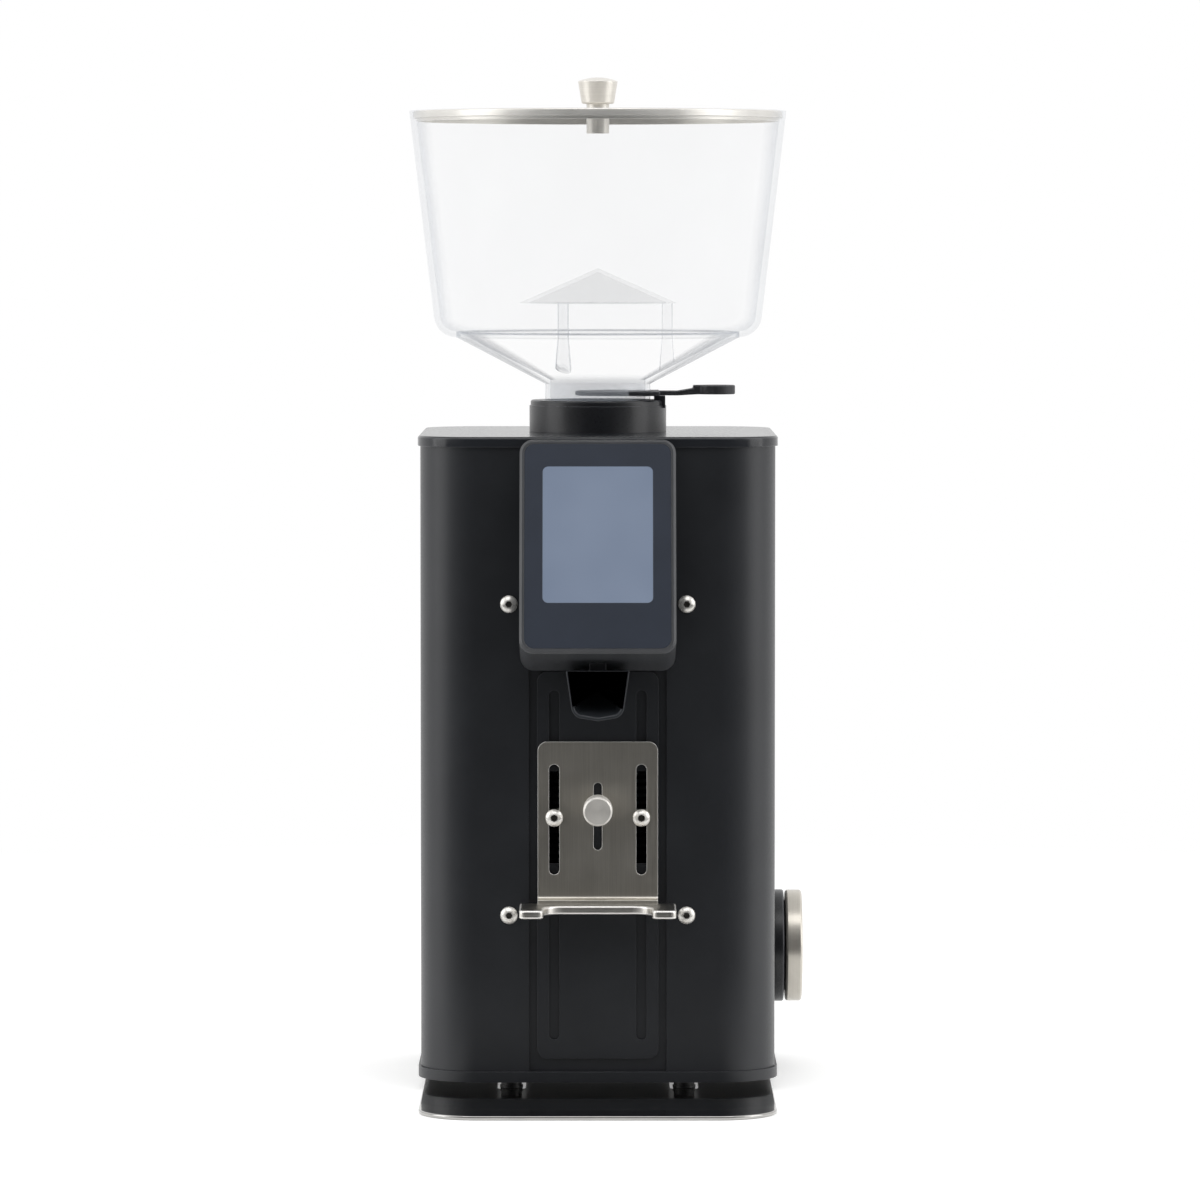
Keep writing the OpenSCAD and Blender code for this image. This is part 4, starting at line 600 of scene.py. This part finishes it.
# Cover glass, printed dark slate on its back: a clear even gloss over a flat colour
cover_glass, tree, shader, place = blank("printed_cover_glass")
ink = add(tree, "ShaderNodeTexNoise", {"Scale": 1 / 0.02, "Detail": 3}, {"Vector": place}).outputs["Fac"]
tree.links.new(ramp(tree, ink, "#272D38", "#2B313D"), shader.inputs["Base Color"])
shader.inputs["Roughness"].default_value = 0.3
shader.inputs["Coat Weight"].default_value = 1
shader.inputs["Coat Roughness"].default_value = 0.04
bm = welded("display_glass")
break_edges(bm, 0.00008, 2)
finished(bm, "head_cover_glass", cover_glass, "display_glass")

# Lit panel behind the glass: a blue-grey glow, almost even
lit_panel, tree, shader, place = blank("lit_liquid_crystal_panel")
pixels = add(tree, "ShaderNodeTexNoise", {"Scale": 1 / 0.03, "Detail": 1}, {"Vector": place}).outputs["Fac"]
tree.links.new(ramp(tree, pixels, "#50586A", "#555D6F"), shader.inputs["Base Color"])
tree.links.new(ramp(tree, pixels, "#636E7C", "#6A7583"), shader.inputs["Emission Color"])
shader.inputs["Emission Strength"].default_value = 0.8
shader.inputs["Roughness"].default_value = 0.12
bm = welded("display_screen")
break_edges(bm, 0.0001, 1)
finished(bm, "head_lit_screen", lit_panel, "display_screen")

# Circuit boards: green solder mask with a darker weave under it
board, tree, shader, place = blank("green_solder_mask")
weave = add(tree, "ShaderNodeTexNoise", {"Scale": 1 / 0.0015, "Detail": 4}, {"Vector": place}).outputs["Fac"]
tree.links.new(ramp(tree, weave, "#0E3A22", "#17512F"), shader.inputs["Base Color"])
shader.inputs["Roughness"].default_value = 0.35
dress(board, "display_board")
dress(machined_steel, "display_screws")

# ---------------------------------------------------------------- spout
# Grounds chute: a pressed tube from the chamber's wall, which in front of the body is a channel with a
# curved floor, coated black. The head covers it, and a small lamp in a black barrel stands over its mouth.

# The chute's coat is the body's black painted a little lighter, painted light where the chute lies in deep
# shade; the same silk
chute_coat_painted_lighter = coated("satin_black_coat_painted_lighter_for_shade", "#26292D", "#2C2F33", 0.35)
bm = welded("spout")
break_edges(bm, 0.00045, 3)
finished(bm, "chute_channel", chute_coat_painted_lighter, "spout")
bm = welded("spout_lamp")
break_edges(bm, 0.0003, 2)
finished(bm, "chute_lamp", anodised, "spout_lamp")

# ---------------------------------------------------------------- portafilter holder
# Slotted bracket of 1.6 mm stainless, brushed upright and bent at the foot, with a fork of 3.6 mm
# stainless, ground, fixed under it. Two screws and square nuts clamp it to the guide plate.


def brushed(name, low, high, rough, way, size):
    """Brushed stainless: long fine scratches along way spread the light across them; its rounded edges are
    painted near white and less metallic, a painted highlight.
    """
    material, tree, shader, place = blank(name)
    shader.inputs["Anisotropic"].default_value = 0.7
    shader.inputs["Anisotropic Rotation"].default_value = 0.25
    stretch = add(
        tree, "ShaderNodeMapping", {"Scale": size}, {"Vector": place}, vector_type="POINT"
    ).outputs[0]
    lines = add(
        tree, "ShaderNodeTexNoise", {"Scale": 1, "Detail": 4, "Roughness": 0.7}, {"Vector": stretch}
    ).outputs["Fac"]
    cloud = add(
        tree, "ShaderNodeTexNoise", {"Scale": 1 / 0.015, "Detail": 3}, {"Vector": place}
    ).outputs["Fac"]
    mixed = add(tree, "ShaderNodeMix", {0: 0.3}, {2: lines, 3: cloud}, data_type="FLOAT").outputs[0]
    tree.links.new(ramp(tree, mixed, low, high, 0.35, 0.65), shader.inputs["Base Color"])
    edge = add(tree, "ShaderNodeAttribute", attribute_name="edge_wear_and_highlight").outputs["Fac"]
    # the rounded edges are painted near white and less metallic: a painted highlight
    marked(tree, shader, edge, "#F7F5F1")
    highlight_metallic = add(tree, "ShaderNodeMapRange", {"To Min": 1, "To Max": 0.55}, {"Value": edge}).outputs[0]
    tree.links.new(highlight_metallic, shader.inputs["Metallic"])
    tree.links.new(ramp(tree, mixed, rough - 0.05, rough + 0.05), shader.inputs["Roughness"])
    bump = add(tree, "ShaderNodeBump", {"Strength": 0.25, "Distance": 0.00003}, {"Height": lines})
    tree.links.new(bump.outputs[0], shader.inputs["Normal"])
    grain = add(tree, "ShaderNodeCombineXYZ", {"X": way[0], "Y": way[1], "Z": way[2]}).outputs[0]
    world_way = add(
        tree, "ShaderNodeVectorTransform", links={0: grain}, vector_type="VECTOR", convert_from="OBJECT",
        convert_to="WORLD",
    )
    tree.links.new(world_way.outputs[0], shader.inputs["Tangent"])
    return material


# The bracket's scratches run upright: a soft grey face, with a painted highlight, a fine near-white line,
# round its outline and slots
upright_steel = brushed(
    "upright_brushed_stainless_steel", "#BDB9B0", "#CFCBC2", 0.4, (0, 0, 1),
    (1 / 0.0003, 1 / 0.0003, 1 / 0.03),
)
bm = welded("bracket_plate")
break_edges(bm, 0.00045, 3)
finished(bm, "bracket_brushed", upright_steel, "bracket_plate")

# The fork is ground from front to back: brighter, its rounded edges painted near white as a painted highlight
fork_steel = brushed(
    "ground_stainless_steel", "#CAC7C1", "#DEDBD5", 0.34, (0, 1, 0), (1 / 0.0003, 1 / 0.02, 1 / 0.0003)
)
bm = welded("fork")
break_edges(bm, 0.0008, 3)
finished(bm, "fork_ground", fork_steel, "fork")
screws("bracket_screws", "bracket_button_screws")
dress(machined_steel, "bracket_nuts")

# ---------------------------------------------------------------- start button
# Turned stainless push button on a stem, sliding in a brass bush that holds the guide plate to the
# panel. A spring brings it back from a small switch with a red plunger.

# Turned fine and tumbled: a soft pale disc with a thin bright edge
low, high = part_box("start_button")
button_axis = ((low.x + high.x) / 2, 0, (low.z + high.z) / 2)
button_steel = turned(
    "satin_turned_stainless_button", button_axis, (0, 1, 0), "#DCD9D3", "#EAE7E1", 0.45, metallic=0.72
)
bm = welded("start_button")
break_edges(bm, 0.00014, 3)
finished(bm, "button_turned", button_steel, "start_button")

# Brass, turned and left bare: warm yellow with brown in its tool marks
brass, tree, shader, place = blank("turned_brass")
shader.inputs["Metallic"].default_value = 1
tarnish = add(tree, "ShaderNodeTexNoise", {"Scale": 1 / 0.003, "Detail": 5}, {"Vector": place}).outputs["Fac"]
tree.links.new(ramp(tree, tarnish, "#A98845", "#C9A962"), shader.inputs["Base Color"])
tree.links.new(ramp(tree, tarnish, 0.22, 0.4), shader.inputs["Roughness"])
dress(brass, "button_bush")

# Return spring of drawn steel wire behind the button's ring, with a mesh of its own; it keeps its length here
low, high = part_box("button_spring")
spring = finished(welded("button_spring"), "button_return_spring", machined_steel, "button_spring", smooth=50)
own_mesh(spring)

# Moulded plastics of the switch: a black polyamide case, finely grained, and a smoother red acetal plunger
inner_black = coated("moulded_black_polyamide", "#151516", "#1C1C1E", 0.5, 0.0003)
dress(inner_black, "micro_switch")
red_plastic = coated("moulded_red_acetal", "#8E1512", "#A61E19", 0.35, 0.0005, "#B5443C")
dress(red_plastic, "switch_plunger")

# ---------------------------------------------------------------- grind dial
# Thin coated plate and anodised collar fixed to the side, and a satin steel ring on a black hub that
# turns the lead screw. The screw shifts a wedge on its cradle, and the wedge's slope lifts the push rod.

# Index line printed white on the plate's tab, which the ring's scale is read against
index_coat = coated("satin_black_coat_with_index_line", "#1C1E22", "#212327", 0.37)
line_half = 0.0003
line_mid = 0.0036
line_reach = 0.0026
tree, shader, place = reopened(index_coat)
parts = add(tree, "ShaderNodeSeparateXYZ", links={0: place}).outputs
low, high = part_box("dial_plate")
line = add(tree, "ShaderNodeMath", {1: 0, 2: line_half}, {0: parts["Y"]}, operation="COMPARE").outputs[0]
tab = add(
    tree, "ShaderNodeMath", {1: high.z - line_mid, 2: line_reach}, {0: parts["Z"]}, operation="COMPARE"
).outputs[0]
face = add(tree, "ShaderNodeMath", {1: high.x - 0.0001}, {0: parts["X"]}, operation="GREATER_THAN").outputs[0]
line = add(tree, "ShaderNodeMath", links={0: line, 1: tab}, operation="MULTIPLY").outputs[0]
line = add(tree, "ShaderNodeMath", links={0: line, 1: face}, operation="MULTIPLY").outputs[0]
marked(tree, shader, line, "#E4E4E2")
for node, name, width in [
    ("dial_plate", "dial_back_plate", 0.0002), ("dial_collar", "dial_black_collar", 0.0003),
]:
    bm = welded(node)
    break_edges(bm, width, 2)
    finished(bm, name, index_coat if node == "dial_plate" else anodised, node)
bm = welded("dial_hub")
break_edges(bm, 0.0003, 2)
finished(bm, "dial_inner_hub", inner_black, "dial_hub")

# Turned satin stainless: fine rings on the face, a fan of light round the rim
low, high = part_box("dial_knob")
dial_axis = (0, (low.y + high.y) / 2, (low.z + high.z) / 2)
dial_steel = turned(
    "satin_turned_stainless_dial", dial_axis, (1, 0, 0), "#C6C1B7", "#DAD5CB", 0.34, 0.0003, metallic=0.8
)

# Engraved scale on the ring's outer face, filled black: a tick every 10 degrees, 2.4 mm long
ticks = 36
tick_half = 0.0012
tick_in = 0.0023
tick_share = 0.07
ring_r = (high.z - low.z) / 2
tree, shader, place = reopened(dial_steel)
arm = add(tree, "ShaderNodeVectorMath", {1: dial_axis}, {0: place}, operation="SUBTRACT").outputs[0]
flat = add(tree, "ShaderNodeVectorMath", {1: (0, 1, 1)}, {0: arm}, operation="MULTIPLY").outputs[0]
radius = add(tree, "ShaderNodeVectorMath", links={0: flat}, operation="LENGTH").outputs["Value"]
parts = add(tree, "ShaderNodeSeparateXYZ", links={0: arm}).outputs
turn = add(tree, "ShaderNodeMath", links={0: parts["Z"], 1: parts["Y"]}, operation="ARCTAN2").outputs[0]
steps = add(tree, "ShaderNodeMath", {1: ticks / math.tau}, {0: turn}, operation="MULTIPLY").outputs[0]
share = add(tree, "ShaderNodeMath", {1: 0.5}, {0: steps}, operation="PINGPONG").outputs[0]
line = add(tree, "ShaderNodeMath", {1: tick_share}, {0: share}, operation="LESS_THAN").outputs[0]
band = add(
    tree, "ShaderNodeMath", {1: ring_r - tick_in, 2: tick_half}, {0: radius}, operation="COMPARE"
).outputs[0]
face = add(tree, "ShaderNodeMath", {1: high.x - 0.0004}, {0: parts["X"]}, operation="GREATER_THAN").outputs[0]
tick = add(tree, "ShaderNodeMath", links={0: line, 1: band}, operation="MULTIPLY").outputs[0]
tick = add(tree, "ShaderNodeMath", links={0: tick, 1: face}, operation="MULTIPLY").outputs[0]
marked(tree, shader, tick, "#121212")
bm = welded("dial_knob")
break_edges(bm, 0.0003, 3)
finished(bm, "dial_ring_turned", dial_steel, "dial_knob")

# Cast and machined aluminium: a pale grey skin with the grain of the sand
cast, tree, shader, place = blank("cast_and_machined_aluminium")
shader.inputs["Metallic"].default_value = 1
sand = add(tree, "ShaderNodeTexNoise", {"Scale": 1 / 0.0012, "Detail": 5}, {"Vector": place}).outputs["Fac"]
tree.links.new(ramp(tree, sand, "#9B9B9A", "#BABAB8"), shader.inputs["Base Color"])
tree.links.new(ramp(tree, sand, 0.38, 0.6), shader.inputs["Roughness"])
bump = add(tree, "ShaderNodeBump", {"Strength": 0.3, "Distance": 0.0001}, {"Height": sand})
tree.links.new(bump.outputs[0], shader.inputs["Normal"])
dress(cast, "adjust_frame")
dress(blackened, "adjust_wedge")
dress(machined_steel, "dial_shaft", "push_rod")

# ---------------------------------------------------------------- motor
# Motor hung from an aluminium plate on the posts' steps: a wound stator between two end caps, and a
# rotor on a hollow steel shaft in two bearings, with a moulded fan under it.

dress(cast, "motor_plate", "lower_end_cap", "upper_end_cap")
dress(machined_steel, "motor_bearings", "motor_shaft")
dress(inner_black, "motor_fan")

# Varnished laminations: dark steel in bands 3 mm apart, coarser than its 0.5 mm sheets so that they show
laminated, tree, shader, place = blank("varnished_steel_laminations")
shader.inputs["Metallic"].default_value = 0.8
# the bands of a wave texture lie 0.314 m apart at scale 1
sheets = add(
    tree, "ShaderNodeTexWave", {"Scale": 100, "Distortion": 0.2}, {"Vector": place}, bands_direction="Z"
)
tree.links.new(ramp(tree, sheets.outputs["Fac"], "#3A3C40", "#5B5E63"), shader.inputs["Base Color"])
shader.inputs["Roughness"].default_value = 0.5
dress(laminated, "motor_stator", "motor_rotor")

# Copper windings under varnish: orange-brown strands 5 mm apart, coarser than the wire so that they show
copper, tree, shader, place = blank("varnished_copper_wire")
shader.inputs["Metallic"].default_value = 0.9
strands = add(
    tree, "ShaderNodeTexWave", {"Scale": 60, "Distortion": 3}, {"Vector": place}, wave_type="RINGS",
    rings_direction="Z",
)
tree.links.new(ramp(tree, strands.outputs["Fac"], "#6E3516", "#B5682F"), shader.inputs["Base Color"])
shader.inputs["Roughness"].default_value = 0.35
dress(copper, "motor_coils")

# ---------------------------------------------------------------- burrs
# A pair of flat burrs of tool steel, cut and hardened, on machined aluminium carriers in a cast chamber
# that stands on the motor plate; the lower one turns and is lifted by the push rod.

dress(cast, "burr_housing", "upper_burr_carrier", "lower_burr_carrier")

# Hardened tool steel, ground: bright flats with a faint grey bloom
tool_steel, tree, shader, place = blank("ground_hardened_tool_steel")
shader.inputs["Metallic"].default_value = 1
bloom = add(tree, "ShaderNodeTexNoise", {"Scale": 1 / 0.004, "Detail": 5}, {"Vector": place}).outputs["Fac"]
tree.links.new(ramp(tree, bloom, "#9A9A9B", "#BBBBBC"), shader.inputs["Base Color"])
tree.links.new(ramp(tree, bloom, 0.2, 0.36), shader.inputs["Roughness"])
dress(tool_steel, "upper_burr", "lower_burr")

# ---------------------------------------------------------------- control board
# Board with transformer, relay and capacitor, on standoffs over the base plate behind the motor; one
# finish for board and parts, since nothing of it is seen from outside.

dress(board, "control_board")

# ---------------------------------------------------------------- mains inlet and switch
# Mains inlet and rocker switch, both moulded in black polyamide, pushed into their holes in the back of
# the sleeve.

# Rocker key of black polyamide, printed white: an I on its upper half and an O on its lower one
rocker_black = coated("moulded_black_rocker_with_marks", "#151516", "#1C1C1E", 0.42, 0.0003)
stroke_half = 0.00022
mark_out = 0.0026
i_half = 0.0012
o_radius = 0.0011
key_deep = 0.0065
tree, shader, place = reopened(rocker_black)
low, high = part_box("power_rocker")
middle = ((low.x + high.x) / 2, 0, (low.z + high.z) / 2)
arm = add(tree, "ShaderNodeVectorMath", {1: middle}, {0: place}, operation="SUBTRACT").outputs[0]
parts = add(tree, "ShaderNodeSeparateXYZ", links={0: arm}).outputs
wide = add(tree, "ShaderNodeMath", {1: 0, 2: stroke_half}, {0: parts["X"]}, operation="COMPARE").outputs[0]
tall = add(tree, "ShaderNodeMath", {1: mark_out, 2: i_half}, {0: parts["Z"]}, operation="COMPARE").outputs[0]
stroke = add(tree, "ShaderNodeMath", links={0: wide, 1: tall}, operation="MULTIPLY").outputs[0]
down = add(tree, "ShaderNodeVectorMath", {1: (0, 0, -mark_out)}, {0: arm}, operation="SUBTRACT").outputs[0]
flat = add(tree, "ShaderNodeVectorMath", {1: (1, 0, 1)}, {0: down}, operation="MULTIPLY").outputs[0]
out = add(tree, "ShaderNodeVectorMath", links={0: flat}, operation="LENGTH").outputs["Value"]
circle = add(tree, "ShaderNodeMath", {1: o_radius, 2: stroke_half}, {0: out}, operation="COMPARE").outputs[0]
sign = add(tree, "ShaderNodeMath", links={0: stroke, 1: circle}, operation="MAXIMUM").outputs[0]
back = add(
    tree, "ShaderNodeMath", {1: high.y - key_deep}, {0: parts["Y"]}, operation="GREATER_THAN"
).outputs[0]
sign = add(tree, "ShaderNodeMath", links={0: sign, 1: back}, operation="MULTIPLY").outputs[0]
marked(tree, shader, sign, "#DCDCDA")

for node, name, width, material in [
    ("power_inlet", "mains_inlet", 0.0004, inner_black),
    ("switch_body", "rocker_frame", 0.0004, inner_black),
    ("power_rocker", "rocker_key", 0.0003, rocker_black),
]:
    bm = welded(node)
    break_edges(bm, width, 2)
    finished(bm, name, material, node)
